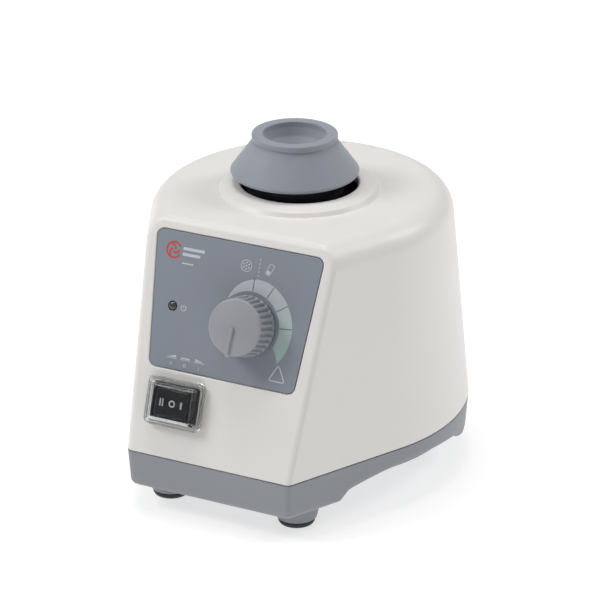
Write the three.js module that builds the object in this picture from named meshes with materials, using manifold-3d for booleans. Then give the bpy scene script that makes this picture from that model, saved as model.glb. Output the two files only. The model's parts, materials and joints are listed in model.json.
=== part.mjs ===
// Vortex mixer: a benchtop shaker whose rubber cup is driven round a small circle.
// Millimetres, +Z up, the control panel faces -Y. The drive axis is x = 0, y = 0 until the
// last group, which moves the middle of the footprint to the origin.
import * as THREE from 'three';
import { mergeVertices } from 'three/addons/utils/BufferGeometryUtils.js';
import Module from 'manifold-3d';

const wasm = await Module();
wasm.setup();

// ---------------------------------------------------------------- driving dimensions
const DEG = Math.PI / 180;
const TAU = 2 * Math.PI;
const gap = 0.3;              // clearance between two pieces that touch
const cut = 1;                // how far a cutting tool runs past the face it opens

// plan of the casing at the seam between cover and base
const halfWidth = 63.5;       // half the overall width, at the round back
const backReach = 66.5;       // round back, from its centre to its rearmost point
const backCentre = 2.4;       // the centre of the round back, behind the drive axis
const frontReach = 75;        // drive axis to the foot of the front face
const frontHalf = 33.3;       // half the width of the front face at the seam
const cornerRadius = 3;       // upright edges beside the front face
const backSteps = 28;
const cornerSteps = 4;

// heights
const baseBottom = 9.8;
const seamHeight = 24.6;
const coverTop = 108;
const collarTop = coverTop + 3;
const skirtBottom = collarTop + 3.6;
const rimTop = skirtBottom + 15.4;

// casing
const wall = 3;
const sideLean = 0.095;       // inward lean of the cover, per mm of height
const frontLean = 0.345;      // backward lean of the front face, per mm of height
const topFillet = 10;         // side wall into top
const frontFillet = 3.6;      // front face into top
const baseTaper = 0.07;       // inward lean of the base, per mm going down
const baseFillet = 2.6;
const openingRadius = 22;     // hole in the top
const collarRadius = openingRadius + 8; // foot of the raised collar round that hole
const floorBottom = 15.8;
const floorTop = 18.3;
const frontScrewY = -36;
const backScrewY = 52;
const screwInset = 9;         // case screws, inwards from the wall
const screwShank = 1.5;
const screwBore = screwShank + 0.4;
const screwHead = 3.2;
const screwTop = 36;
const screwPost = 4.6;        // lower part of the cover's posts, inside the ballast plate
const screwPostRoot = 7.5;    // upper part, joined to the wall
const screwPostTop = 44;
const archHeight = 7.5;       // arched lower edge along each side of the base
const archFront = -53;
const archBack = 18;
const archStep = 3.5;         // steep start of the arch at each end, along and up
const archParts = 12;

// front face, measured from its middle: x to the right, s up the slope from the seam
const leanAngle = Math.atan(frontLean);
const switchPlace = [-16.2, 21.1];
const bootSize = [22.6, 17.2];
const panelBottom = switchPlace[1] + bootSize[1] / 2 + 3.1;
const panelTop = (coverTop - 4.2 - seamHeight) / Math.cos(leanAngle);
const panelHalfBottom = 29.8;
const panelHalfTop = 34.3;
const panelCorner = 3;
const panelRecess = 1.2;
const panelThick = 0.8;
const knobPlace = [7.8, panelBottom + 21.5];
const ledPlace = [-23.5, panelBottom + 23.3];

// speed knob
const knobFoot = 0.6;         // clearance under the knob
const knobRadius = 11.3;
const knobFaceRadius = knobRadius - 0.8;
const knobHeight = 11.2;
const fluteCount = 30;
const fluteRadius = 0.62;
const fluteFoot = 1.8;
const pointerWidth = 1.8;
const knobRoof = 3;           // thickness of the knob's face
const potShaftRadius = 3;
const potRadius = 8;
const potDepth = 9;

// power switch
const bootStep = 3.2;         // heights of the boot's two steps and its top
const bootShoulder = 4.6;
const bootHeight = 6.4;
const bootShrink = 3.4;       // how much smaller the top of the boot is than its foot
const bootWall = 0.7;
const bezelSize = [bootSize[0] - 2.2, bootSize[1] - 2.2];
const bezelThick = 2;
const pocketSize = [bezelSize[0] - 3.6, bezelSize[1] - 3.4];
const pocketDepth = 6.5;
const switchWall = 0.7;
const barrelSize = [pocketSize[0] + 2 * switchWall, pocketSize[1] + 2 * switchWall];
const rockerHalf = pocketSize[0] / 2 - 1;
const rockerPivot = 0.3;      // height of the rocker's axis above the face
const switchDepth = 16;

const ledRadius = 1.6;

// vortex drive
const eccentricity = 2;       // half the 4 mm orbit
const pressTravel = 1.5;
const rimRadius = 16.1;
const dishRadius = 11.85;
const dishDepth = 8.5;
const dishFloorRadius = 5;
const skirtRadius = 24.2;
const skirtEdge = 1.8;
const rimHeight = 1.9;
const hubRadius = 12.4;
const neckRadius = 18.5;      // wide black neck seen under the skirt
const neckFoot = collarTop - 4;
const spigotRadius = 5;       // spigot on the neck that the cup is pressed over
const spigotHeight = 3.4;
const shaftRadius = 4;
const pinRadius = 3.4;
const bearingRadius = 9;
const bearingHeight = 7;
const motorRadius = 29;
const rotorRadius = 15.2;
const statorBore = 16;
const statorSlots = 8;
const slotRing = 22;
const shieldWeb = 2;
const windingHeight = 5.5;
const fanRadius = 25;
const fanBlades = 7;
const ballastThick = 7;
const postCount = 3;
const postRadius = 2.2;
const postHeadRadius = 4.2;
const postHeadHeight = 3;
const springRadius = 4.1;
const springWire = 0.6;
const springTurns = 4;

// feet
const footRadius = 6.9;
const bossRadius = 8.3;
const bossBottom = 2.4;
const stemRadius = 3;
const feet = [[26.4, -54.8], [-26.4, -54.8], [38, 40], [-38, 40]];

// rear inlet
const inletSize = [31, 36];
const inletSunk = 3;          // flat seat, below the crest of the round back
const inletDepth = 22;
const flangeThick = 2;
const socketSize = [24, 16.4];
const socketDepth = 15;
const socketHeight = 7.4;     // middle of the socket above the middle of the inlet
const pinPlaces = [[-7, 5.6], [7, 5.6], [0, 9.4]];
const drawerSize = [22, 9.4];
const drawerDepth = 18;
const drawerHeight = -10.6;   // middle of the fuse drawer

// ---------------------------------------------------------------- heights of the drive
// The motor stands on the carriage; the fan, crank and neck hang from the height of the collar, and
// the motor's core fills the height between.
const ballastTop = floorTop + gap + ballastThick;
const plateBottom = ballastTop + 9.7;
const plateTop = plateBottom + 3;
const hubHead = skirtBottom - 0.2;
const pinHead = hubHead - 7.2;
const crankFoot = hubHead - 25.7;
const crankHead = crankFoot + 7;
const hubFoot = crankHead + 1;
const fanThick = 4.5;
const fanFoot = crankFoot - 1.1 - fanThick;
const motorFoot = plateTop + gap;
const lowerBearing = motorFoot + shieldWeb + gap;
const statorFoot = lowerBearing + bearingHeight + 1;
const motorHead = fanFoot - 1;
const upperBearing = motorHead - shieldWeb - gap - bearingHeight;
const statorHead = upperBearing - 2;
const crankBore = 4;
const weightRadius = 17;

const postRing = motorRadius + postHeadRadius + 1.8;
const carriageRadius = postRing + springRadius + springWire + gap;
const touchPlace = [-22, 20];
const plungerSize = [2, 3, 4.4];
const plungerY = 2;
const boardThick = 1.6;
const boardLength = 34;
const boardHeight = 30;
const boardX = carriageRadius + 6;
const boardMiddle = backCentre + 2.6;
const posts = [];
for (let i = 0; i < postCount; i += 1) {
  const angle = (90 + i * (360 / postCount)) * DEG;
  posts.push([postRing * Math.cos(angle), postRing * Math.sin(angle)]);
}

// The inlet's barrel slopes down inwards and passes above the heads of the guide posts.
const inletHeight = plateTop + postHeadHeight + 1 + inletDepth * sideLean + (inletSize[1] - 3) / 2;

// ---------------------------------------------------------------- materials
function finish(color, roughness, metalness = 0) {
  return new THREE.MeshStandardMaterial({ color, roughness, metalness });
}

const whitePlastic = () => finish(0xeeeceb, 0.42);
const greyPlastic = () => finish(0x8f9299, 0.48);
const panelFilm = () => finish(0x858b94, 0.5);
const knobPlastic = () => finish(0x84858b, 0.45);
const cupRubber = () => finish(0x8b929d, 0.6);
const blackPlastic = () => finish(0x17171a, 0.35);
const blackRubber = () => finish(0x1c1c1e, 0.75);
const clearPlastic = () => finish(0xdfe6ea, 0.1);
const steel = () => finish(0xb9bbbf, 0.35, 1);
const copper = () => finish(0xb4683a, 0.4, 1);
const aluminium = () => finish(0xc6c8cb, 0.45, 1);
const boardGreen = () => finish(0x1f5a38, 0.5);
const springSteel = () => finish(0xa8a9ac, 0.3, 1);
const capacitorSleeve = () => finish(0x2a2f45, 0.4);
const lampLens = () => finish(0x3a1513, 0.25);
const plungerRed = () => finish(0xb03a2e, 0.4);
const ballastIron = () => finish(0x4b4c4f, 0.7, 0.6);

// ---------------------------------------------------------------- solids
// A closed three.js geometry as a solid that can be joined and cut.
function solid(geometry, matrix = null) {
  let bare = geometry.clone();
  bare.deleteAttribute('normal');
  bare.deleteAttribute('uv');
  if (matrix) bare.applyMatrix4(matrix);
  bare = mergeVertices(bare, 1e-5);
  const place = bare.attributes.position;
  const index = bare.index.array;
  const corners = [];
  for (let i = 0; i < index.length; i += 3) {
    const [a, b, c] = [index[i], index[i + 1], index[i + 2]];
    if (a !== b && b !== c && a !== c) corners.push(a, b, c);
  }
  return new wasm.Manifold(new wasm.Mesh({
    numProp: 3,
    vertProperties: new Float32Array(place.array),
    triVerts: new Uint32Array(corners),
  }));
}

function unite(first, ...others) {
  return others.reduce((sum, one) => sum.add(one), first);
}

function without(first, ...others) {
  return others.reduce((rest, one) => rest.subtract(one), first);
}

// A solid back as a named three.js mesh with flat-shaded faces.
function piece(name, body, material) {
  const result = body.getMesh();
  const geometry = new THREE.BufferGeometry();
  const corners = new Float32Array(result.numVert * 3);
  for (let i = 0; i < result.numVert; i += 1) {
    for (let axis = 0; axis < 3; axis += 1) {
      corners[3 * i + axis] = result.vertProperties[result.numProp * i + axis];
    }
  }
  geometry.setAttribute('position', new THREE.BufferAttribute(corners, 3));
  geometry.setIndex(new THREE.BufferAttribute(new Uint32Array(result.triVerts), 1));
  geometry.computeVertexNormals();
  const mesh = new THREE.Mesh(geometry, material);
  mesh.name = name;
  return mesh;
}

function shift(x, y, z) {
  return new THREE.Matrix4().makeTranslation(x, y, z);
}

// An upright cylinder from z0 to z1 with its axis at x, y.
function post(radius, z0, z1, x = 0, y = 0, steps = 24, topRadius = radius) {
  const geometry = new THREE.CylinderGeometry(topRadius, radius, z1 - z0, steps);
  geometry.rotateX(Math.PI / 2);
  return solid(geometry, shift(x, y, (z0 + z1) / 2));
}

function tube(outer, inner, z0, z1, x = 0, y = 0, steps = 32) {
  return post(outer, z0, z1, x, y, steps).subtract(post(inner, z0 - cut, z1 + cut, x, y, steps));
}

// A box given by the middle of its foot and its size.
function block(width, depth, height, x, y, z) {
  return solid(new THREE.BoxGeometry(width, depth, height), shift(x, y, z + height / 2));
}

// A profile of [radius, height] points turned about the z axis; it may run either way round.
function turned(points, steps = 40) {
  const doubleArea = points.reduce((sum, [r, z], i) => {
    const [nextR, nextZ] = points[(i + 1) % points.length];
    return sum + r * nextZ - nextR * z;
  }, 0);
  const ordered = doubleArea > 0 ? points : [...points].reverse();
  const geometry = new THREE.LatheGeometry(ordered.map(([r, z]) => new THREE.Vector2(r, z)), steps);
  geometry.rotateX(Math.PI / 2);
  return solid(geometry);
}

function roundedRect(width, height, radius) {
  const shape = new THREE.Shape();
  const x = width / 2;
  const y = height / 2;
  shape.moveTo(-x + radius, -y);
  shape.lineTo(x - radius, -y);
  shape.absarc(x - radius, -y + radius, radius, -Math.PI / 2, 0);
  shape.lineTo(x, y - radius);
  shape.absarc(x - radius, y - radius, radius, 0, Math.PI / 2);
  shape.lineTo(-x + radius, y);
  shape.absarc(-x + radius, y - radius, radius, Math.PI / 2, Math.PI);
  shape.lineTo(-x, -y + radius);
  shape.absarc(-x + radius, -y + radius, radius, Math.PI, 1.5 * Math.PI);
  return shape;
}

// A shape raised from z0 to z1.
function raised(shape, z0, z1, curveSegments = 4) {
  const geometry = new THREE.ExtrudeGeometry(shape, { depth: z1 - z0, bevelEnabled: false, curveSegments });
  return solid(geometry, shift(0, 0, z0));
}

function slab(width, height, radius, z0, z1) {
  return raised(roundedRect(width, height, radius), z0, z1);
}

// A shape in the x-z plane, carried through the given depth about y = 0.
function carried(points, depth) {
  const shape = new THREE.Shape(points.map(([x, z]) => new THREE.Vector2(x, z)));
  const geometry = new THREE.ExtrudeGeometry(shape, { depth, bevelEnabled: false });
  geometry.translate(0, 0, -depth / 2);
  geometry.rotateX(Math.PI / 2);
  return solid(geometry);
}

// Rings with equal numbers of points, joined in order and closed by a fan at each end.
function loft(rings) {
  const count = rings[0].length;
  const corners = rings.flat(2);
  const faces = [];
  for (let level = 0; level + 1 < rings.length; level += 1) {
    for (let i = 0; i < count; i += 1) {
      const a = level * count + i;
      const b = level * count + ((i + 1) % count);
      faces.push(a, b, b + count, a, b + count, a + count);
    }
  }
  [0, rings.length - 1].forEach((level, end) => {
    const middle = corners.length / 3;
    corners.push(0, backCentre, rings[level][0][2]);
    for (let i = 0; i < count; i += 1) {
      const a = level * count + i;
      const b = level * count + ((i + 1) % count);
      faces.push(middle, end ? a : b, end ? b : a);
    }
  });
  const geometry = new THREE.BufferGeometry();
  geometry.setAttribute('position', new THREE.BufferAttribute(new Float32Array(corners), 3));
  geometry.setIndex(faces);
  return solid(geometry);
}

// ---------------------------------------------------------------- plan of the casing
// Slant of the side walls: the line from the front corner that touches the round back.
function tangent(frontX, frontY, radiusX, radiusY) {
  const squash = radiusX / radiusY;
  const dx = frontX;
  const dy = (frontY - backCentre) * squash;
  const angle = Math.atan2(dy, dx) + Math.acos(radiusX / Math.hypot(dx, dy));
  return { angle, x: radiusX * Math.cos(angle), y: backCentre + radiusY * Math.sin(angle) };
}

const seamTouch = tangent(frontHalf, -frontReach, halfWidth, backReach);
const slant = Math.atan2(seamTouch.x - frontHalf, seamTouch.y + frontReach);

// The front corner once the side walls move in by `side` and the front face by `front`.
function frontCorner(side, front) {
  const x = frontHalf + (front * Math.sin(slant) - side) / Math.cos(slant);
  return [x, -frontReach + front];
}

// Outline at height z with the walls moved in by `side` and the front face by `front`.
function outline(z, side, front) {
  const [cornerX, cornerY] = frontCorner(side + cornerRadius, front + cornerRadius);
  const radiusX = halfWidth - side;
  const radiusY = backReach - side;
  const [edgeX, edgeY] = frontCorner(side, front);
  const touch = tangent(edgeX, edgeY, radiusX, radiusY);
  const right = [];
  for (let i = 0; i <= cornerSteps; i += 1) {
    const angle = -Math.PI / 2 + (Math.PI / 2 - slant) * (i / cornerSteps);
    right.push([cornerX + cornerRadius * Math.cos(angle), cornerY + cornerRadius * Math.sin(angle), z]);
  }
  const back = [];
  for (let i = 0; i <= backSteps; i += 1) {
    const angle = touch.angle + (Math.PI - 2 * touch.angle) * (i / backSteps);
    back.push([radiusX * Math.cos(angle), backCentre + radiusY * Math.sin(angle), z]);
  }
  const left = right.map(([x, y]) => [-x, y, z]).reverse();
  return [...right, ...back, ...left];
}

// How far a leaning wall has moved in at height z, with a fillet of the given radius under the top.
function movedIn(z, lean, fillet, top) {
  const slope = Math.hypot(1, lean);
  const centreHeight = top - fillet;
  const centreIn = lean * (centreHeight - seamHeight) + fillet * slope;
  if (z <= centreHeight + (fillet * lean) / slope) return lean * (z - seamHeight);
  return centreIn - Math.sqrt(Math.max(0, fillet ** 2 - (z - centreHeight) ** 2));
}

// The cover's solid outer form, or its inside when `inset` is the wall.
function coverForm(inset) {
  const top = coverTop - inset;
  const sideFillet = topFillet - inset;
  const frontRound = Math.max(frontFillet - inset, 1);
  const heights = [seamHeight + (inset ? -cut : gap / 2), 50, 75];
  for (let angle = 0; angle <= 90; angle += inset ? 30 : 15) {
    heights.push(top - sideFillet * (1 - Math.sin(angle * DEG)));
  }
  const frontInset = inset * Math.hypot(1, frontLean);
  return loft(heights.map((z) => outline(
    z,
    inset + movedIn(z, sideLean, sideFillet, top),
    frontInset + movedIn(z, frontLean, frontRound, top),
  )));
}

// The base's outer form with the walls moved in by `inset`, between two heights.
function baseForm(inset, z0, z1, fillet = 0) {
  const heights = [];
  for (let angle = 0; fillet && angle < 90; angle += 22.5) {
    heights.push(z0 + fillet * (1 - Math.cos(angle * DEG)));
  }
  heights.push(z0 + fillet, z1);
  return loft(heights.map((z) => {
    const rise = Math.max(0, z0 + fillet - z);
    const rounding = fillet ? fillet - Math.sqrt(fillet ** 2 - rise ** 2) : 0;
    const side = inset + rounding + baseTaper * (seamHeight - Math.min(z, seamHeight));
    return outline(z, side, side);
  }));
}

// ---------------------------------------------------------------- frames on the casing
// Front face: local x right, y up the slope, z outwards; origin on the face at the seam.
const faceMatrix = new THREE.Matrix4()
  .makeTranslation(0, -frontReach, seamHeight)
  .multiply(new THREE.Matrix4().makeRotationX(Math.PI / 2 - leanAngle));

// A place on the front face as a matrix.
function onFace([x, s], height = 0) {
  return faceMatrix.clone().multiply(shift(x, s, height));
}

// Inlet: local x to the right as seen from behind, y up, z outwards; it leans with the back wall.
const inletPlane = backCentre + backReach - sideLean * (inletHeight - seamHeight) - inletSunk;
const inletMatrix = new THREE.Matrix4()
  .makeTranslation(0, inletPlane, inletHeight)
  .multiply(new THREE.Matrix4().makeRotationY(Math.PI))
  .multiply(new THREE.Matrix4().makeRotationX(-Math.PI / 2 - Math.atan(sideLean)));

function placed(body, matrix) {
  return body.transform(matrix.elements);
}

// Half the width of the seam outline at depth y, with the walls moved in.
function halfWidthAt(y, movedBy) {
  const points = outline(seamHeight, movedBy, movedBy).filter(([x]) => x >= 0);
  const next = points.findIndex((point) => point[1] > y);
  const [a, b] = [points[next - 1], points[next]];
  return a[0] + (b[0] - a[0]) * ((y - a[1]) / (b[1] - a[1]));
}

// Case screws stand inside the wall, two behind the front feet and two beside the inlet.
const screwPlaces = [frontScrewY, frontScrewY, backScrewY, backScrewY].map((y, i) => {
  const side = i % 2 ? -1 : 1;
  return [side * halfWidthAt(y, screwInset), y];
});

// ---------------------------------------------------------------- casing
function panelShape(shrink) {
  const rise = panelTop - panelBottom;
  const bottom = panelHalfBottom - shrink;
  const top = panelHalfTop - shrink;
  const [y0, y1] = [panelBottom + shrink, panelTop - shrink];
  const tilt = (panelHalfTop - panelHalfBottom) / rise;
  const r = panelCorner - shrink;
  const shape = new THREE.Shape();
  shape.moveTo(-bottom + r, y0);
  shape.lineTo(bottom - r, y0);
  shape.quadraticCurveTo(bottom, y0, bottom + r * tilt, y0 + r);
  shape.lineTo(top - r * tilt, y1 - r);
  shape.quadraticCurveTo(top, y1, top - r, y1);
  shape.lineTo(-top + r, y1);
  shape.quadraticCurveTo(-top, y1, -top + r * tilt, y1 - r);
  shape.lineTo(-bottom - r * tilt, y0 + r);
  shape.quadraticCurveTo(-bottom, y0, -bottom + r, y0);
  return shape;
}

function upperCover() {
  const outer = coverForm(0);
  const collar = turned([
    [0, coverTop - topFillet],
    [collarRadius, coverTop - topFillet],
    [collarRadius, coverTop],
    [collarRadius - 1.2, coverTop + 0.9],
    [openingRadius + 2.4, collarTop - 0.4],
    [openingRadius + 1, collarTop],
    [0, collarTop],
  ], 40);
  const underCollar = turned([
    [0, coverTop - topFillet - cut],
    [collarRadius - wall, coverTop - topFillet - cut],
    [collarRadius - wall, coverTop - wall],
    [openingRadius + wall, collarTop - wall],
    [0, collarTop - wall],
  ], 40);
  const inside = coverForm(wall).add(underCollar);
  let body = outer.add(collar).subtract(inside);
  // posts for the case screws, tied to the wall above the seam and the ballast plate
  const rootFoot = Math.max(seamHeight, ballastTop) + gap;
  for (const [x, y] of screwPlaces) {
    const root = post(screwPostRoot, rootFoot, screwPostTop, x, y, 16).intersect(outer);
    body = unite(body, root, post(screwPost, floorTop + gap, rootFoot + cut, x, y, 16));
  }
  // thick pad behind the inlet, with a flat pocket outside
  const pad = placed(slab(inletSize[0] + 10, inletSize[1] + 8, 2, -wall, 6), inletMatrix).intersect(outer);
  body = body.add(pad);
  const pocket = placed(slab(inletSize[0] + 1, inletSize[1] + 1, 1.5, 0, 12), inletMatrix);
  const inletHole = placed(slab(inletSize[0] - 3, inletSize[1] - 3, 1, -12, cut), inletMatrix);
  const knobHole = placed(post(4, -12, 4), onFace(knobPlace));
  const ledHole = placed(post(ledRadius + gap, -12, 4), onFace(ledPlace));
  const switchHole = placed(
    slab(barrelSize[0] + 2 * gap, barrelSize[1] + 2 * gap, 0.8, -12, 4),
    onFace(switchPlace),
  );
  const recess = placed(raised(panelShape(0), -panelRecess, 4, 5), faceMatrix);
  body = without(body, pocket, inletHole, knobHole, ledHole, switchHole, recess);
  body = body.subtract(post(openingRadius, coverTop - 20, collarTop + cut, 0, 0, 40));
  for (const [x, y] of screwPlaces) {
    body = body.subtract(post(screwBore, floorTop - cut, screwTop + 2, x, y, 12));
  }
  return piece('upper_cover', body, whitePlastic());
}

// The arch cut through both side walls: a steep step at each end and a bow between them.
function archForm() {
  const middle = (archFront + archBack) / 2;
  const reach = (archBack - archFront) / 2 - archStep;
  const profile = [[archFront, baseBottom - cut], [archFront, baseBottom]];
  for (let i = 0; i <= archParts; i += 1) {
    const along = (2 * i) / archParts - 1;
    const bow = (archHeight - archStep) * (1 - along ** 2);
    profile.push([middle + reach * along, baseBottom + archStep + bow]);
  }
  profile.push([archBack, baseBottom], [archBack, baseBottom - cut]);
  return placed(carried(profile, 2 * (halfWidth + cut)), new THREE.Matrix4().makeRotationZ(Math.PI / 2));
}

function baseTray() {
  let body = baseForm(0, baseBottom, seamHeight - gap / 2, baseFillet);
  body = body.subtract(baseForm(wall, floorTop, seamHeight + cut));
  body = body.subtract(baseForm(wall, baseBottom - cut, floorBottom));
  body = body.subtract(archForm().subtract(baseForm(wall, baseBottom - 2 * cut, seamHeight)));
  for (const [x, y] of feet) {
    body = body.add(post(bossRadius - 0.5, bossBottom, floorBottom + cut, x, y, 24, bossRadius));
    body = body.subtract(post(stemRadius + gap, bossBottom - cut, floorBottom - 2, x, y, 16));
  }
  for (const [x, y] of screwPlaces) {
    body = body.subtract(post(screwBore, floorBottom - cut, floorTop + cut, x, y, 12));
  }
  return piece('base_tray', body, greyPlastic());
}

function caseScrew(index) {
  const [x, y] = screwPlaces[index];
  const headFoot = floorBottom - 2.6;
  const head = post(screwHead, headFoot, floorBottom - gap, x, y, 16);
  const shank = post(screwShank, floorBottom - cut, screwTop, x, y, 12);
  const slot = block(screwHead + 0.8, 0.8, 1, x, y, headFoot - 0.6);
  return piece(`case_screw_${index + 1}`, head.add(shank).subtract(slot), steel());
}

function foot(index) {
  const [x, y] = feet[index];
  const top = bossBottom - gap;
  const sole = post(footRadius - 0.7, 0, 1, x, y, 28, footRadius);
  const pad = post(footRadius, 1 - 1e-3, top, x, y, 28);
  const stem = post(stemRadius, top - cut, floorBottom - 2.6, x, y, 16);
  const body = unite(sole, pad, stem);
  return piece(`foot_${index + 1}`, body, blackRubber());
}

// ---------------------------------------------------------------- front face pieces
function frontPanel() {
  const sheet = raised(panelShape(gap), -panelRecess + gap, -panelRecess + gap + panelThick, 5);
  const holes = [
    post(4.4, -4, 4).transform(shift(...knobPlace, 0).elements),
    post(ledRadius + gap, -4, 4).transform(shift(...ledPlace, 0).elements),
  ];
  return piece('front_panel', placed(without(sheet, ...holes), faceMatrix), panelFilm());
}

function speedKnob() {
  const side = (z) => knobRadius + (knobFaceRadius - knobRadius) * (z / knobHeight);
  const profile = [
    [0, knobFoot],
    [side(knobFoot), knobFoot],
    [side(knobHeight - 1), knobHeight - 1],
    [knobFaceRadius - 0.9, knobHeight],
    [0, knobHeight + 0.5],
  ];
  let body = turned(profile, 36);
  for (let i = 0; i < fluteCount; i += 1) {
    const angle = (i + 0.5) * (TAU / fluteCount);
    const reach = knobRadius + fluteRadius * 0.35;
    const [x, y] = [reach * Math.cos(angle), reach * Math.sin(angle)];
    body = body.subtract(post(fluteRadius, fluteFoot, knobHeight + 1, x, y, 5));
  }
  const pointerLength = knobFaceRadius - 1.5;
  const pointerY = -pointerLength / 2 - 1;
  body = body.add(block(pointerWidth, pointerLength, 1.6, 0, pointerY, knobHeight - 0.6));
  body = body.subtract(post(potShaftRadius + gap, -cut, knobHeight - knobRoof, 0, 0, 20));
  body = body.subtract(tube(knobRadius - 1.6, potShaftRadius + 2, -cut, knobHeight - knobRoof, 0, 0, 30));
  return piece('speed_knob', placed(body, onFace(knobPlace)), knobPlastic());
}

function potShaft() {
  const body = post(potShaftRadius, -wall - 5, knobHeight - knobRoof - gap, 0, 0, 20);
  return piece('control_shaft', placed(body, onFace(knobPlace)), steel());
}

function potBody() {
  const back = -wall - gap;
  const can = post(potRadius, back - potDepth, back, 0, 0, 28);
  const bush = post(3.7, back - cut, -panelRecess + 0.2, 0, 0, 24);
  const tags = block(9, 1.6, 1.2, 0, -potRadius - 1.2, back - 4);
  const tagFoot = block(9, 5, 1.2, 0, -potRadius, back - 4);
  const bore = post(potShaftRadius + gap, back - 6, 4, 0, 0, 20);
  const body = unite(can, bush, tags, tagFoot).subtract(bore);
  return piece('speed_control', placed(body, onFace(knobPlace)), steel());
}

function ledLens() {
  const profile = [[0, -9], [ledRadius, -9], [ledRadius, -0.1], [ledRadius - 0.4, 0.3], [0, 0.5]];
  return piece('power_light', placed(turned(profile, 20), onFace(ledPlace)), lampLens());
}

function switchHousing() {
  const flange = slab(...bezelSize, 1.2, gap, gap + bezelThick);
  const barrel = slab(...barrelSize, 0.8, -switchDepth, gap + 1);
  const pocket = slab(...pocketSize, 0.5, -pocketDepth, bootHeight);
  const lugs = [-1, 0, 1].map((i) => block(0.8, 6.2, 8, i * 5.5, 0, -switchDepth - 7));
  const body = unite(flange, barrel, ...lugs).subtract(pocket);
  return piece('switch_housing', placed(body, onFace(switchPlace)), blackPlastic());
}

function switchRocker() {
  const top = rockerPivot + 3.9;
  const profile = [
    [-rockerHalf, rockerPivot - 1.5], [-3.4, rockerPivot - 4.4], [3.4, rockerPivot - 4.4],
    [rockerHalf, rockerPivot - 1.5], [rockerHalf - 0.2, top], [rockerHalf - 1.2, top + 0.1],
    [0, top - 0.9], [-rockerHalf + 1.2, top + 0.1], [-rockerHalf + 0.2, top],
  ];
  const body = carried(profile, pocketSize[1] - 1);
  return piece('switch_rocker', placed(body, onFace(switchPlace)), blackPlastic());
}

function switchBoot() {
  const step = (shrink, corner, z0, z1) => slab(bootSize[0] - shrink, bootSize[1] - shrink, corner, z0, z1);
  const frame = step(0, 2, gap, bootStep);
  const middle = step(2, 1.6, bootStep - 1e-3, bootShoulder);
  const dome = step(bootShrink, 1.4, bootShoulder - 1e-3, bootHeight);
  const seatTop = gap + bezelThick + gap;
  const seat = slab(bezelSize[0] + 2 * gap, bezelSize[1] + 2 * gap, 1.4, gap - cut, seatTop);
  const room = step(bootShrink + 2 * bootWall, 0.9, gap, bootHeight - bootWall);
  const body = unite(frame, middle, dome).subtract(seat.add(room));
  return piece('switch_boot', placed(body, onFace(switchPlace)), clearPlastic());
}

// ---------------------------------------------------------------- rear inlet
function inletBody() {
  const flange = slab(...inletSize, 1.5, gap, gap + flangeThick);
  const barrel = slab(inletSize[0] - 3 - 2 * gap, inletSize[1] - 3 - 2 * gap, 1, -inletDepth, gap + 1);
  const socket = placed(slab(...socketSize, 3, -socketDepth, 6), shift(0, socketHeight, 0));
  const drawer = placed(slab(...drawerSize, 0.8, -drawerDepth, 6), shift(0, drawerHeight, 0));
  const pins = pinPlaces.map(([x, y]) => placed(slab(2, 4, 0.4, -socketDepth - 1, -3), shift(x, y, 0)));
  const body = unite(without(unite(flange, barrel), socket, drawer), ...pins);
  return piece('power_inlet', placed(body, inletMatrix), blackPlastic());
}

function fuseDrawer() {
  const width = drawerSize[0] - 2 * gap;
  const height = drawerSize[1] - 2 * gap;
  const front = slab(width, height, 0.6, -drawerDepth + 2 * gap, gap + flangeThick);
  const well = slab(width - 4, height - 2.4, 0.4, -16, -2.5);
  const open = block(width - 4, height, 12, 0, height / 2, -14.5);
  const grip = block(8, 1.2, 1.4, 0, height / 2 - 1.4, gap + flangeThick - 0.8);
  const body = placed(without(front, well, open, grip), shift(0, drawerHeight, 0));
  return piece('fuse_drawer', placed(body, inletMatrix), blackPlastic());
}

// ---------------------------------------------------------------- drive
function ballastPlate() {
  const slabBody = baseForm(wall + 1, floorTop + gap, ballastTop);
  const holes = screwPlaces.map(([x, y]) => post(5.6, floorTop - cut, ballastTop + cut, x, y, 16));
  return piece('ballast_plate', without(slabBody, ...holes), ballastIron());
}

function carriagePlate() {
  const disc = post(carriageRadius, plateBottom, plateTop, 0, 0, 40);
  const hole = (radius, x, y, steps) => post(radius, plateBottom - cut, plateTop + cut, x, y, steps);
  const holes = posts.map(([x, y]) => hole(postRadius + gap, x, y, 16));
  return piece('carriage_plate', without(disc, hole(8, 0, 0, 24), ...holes), steel());
}

function guidePost(index) {
  const [x, y] = posts[index];
  const shank = post(postRadius, ballastTop + gap, plateTop + 1.5, x, y, 16);
  const foot = post(postHeadRadius, ballastTop + gap, ballastTop + 1.2, x, y, 16);
  const head = post(postHeadRadius, plateTop + gap, plateTop + postHeadHeight, x, y, 16);
  return piece(`guide_post_${index + 1}`, unite(shank, foot, head), steel());
}

class Helix extends THREE.Curve {
  constructor(x, y, z0, z1) {
    super();
    Object.assign(this, { x, y, z0, z1 });
  }

  getPoint(t) {
    const angle = t * springTurns * TAU;
    const x = this.x + springRadius * Math.cos(angle);
    const y = this.y + springRadius * Math.sin(angle);
    return new THREE.Vector3(x, y, this.z0 + (this.z1 - this.z0) * t);
  }
}

function pressSpring(index) {
  const [x, y] = posts[index];
  const foot = ballastTop + 1.2 + gap + springWire;
  const path = new Helix(x, y, foot, plateBottom - gap - springWire);
  const wire = new THREE.Shape();
  wire.absarc(0, 0, springWire, 0, TAU);
  const geometry = new THREE.ExtrudeGeometry(wire, {
    steps: springTurns * 8, curveSegments: 3, extrudePath: path, bevelEnabled: false,
  });
  return piece(`press_spring_${index + 1}`, solid(geometry), springSteel());
}

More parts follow.
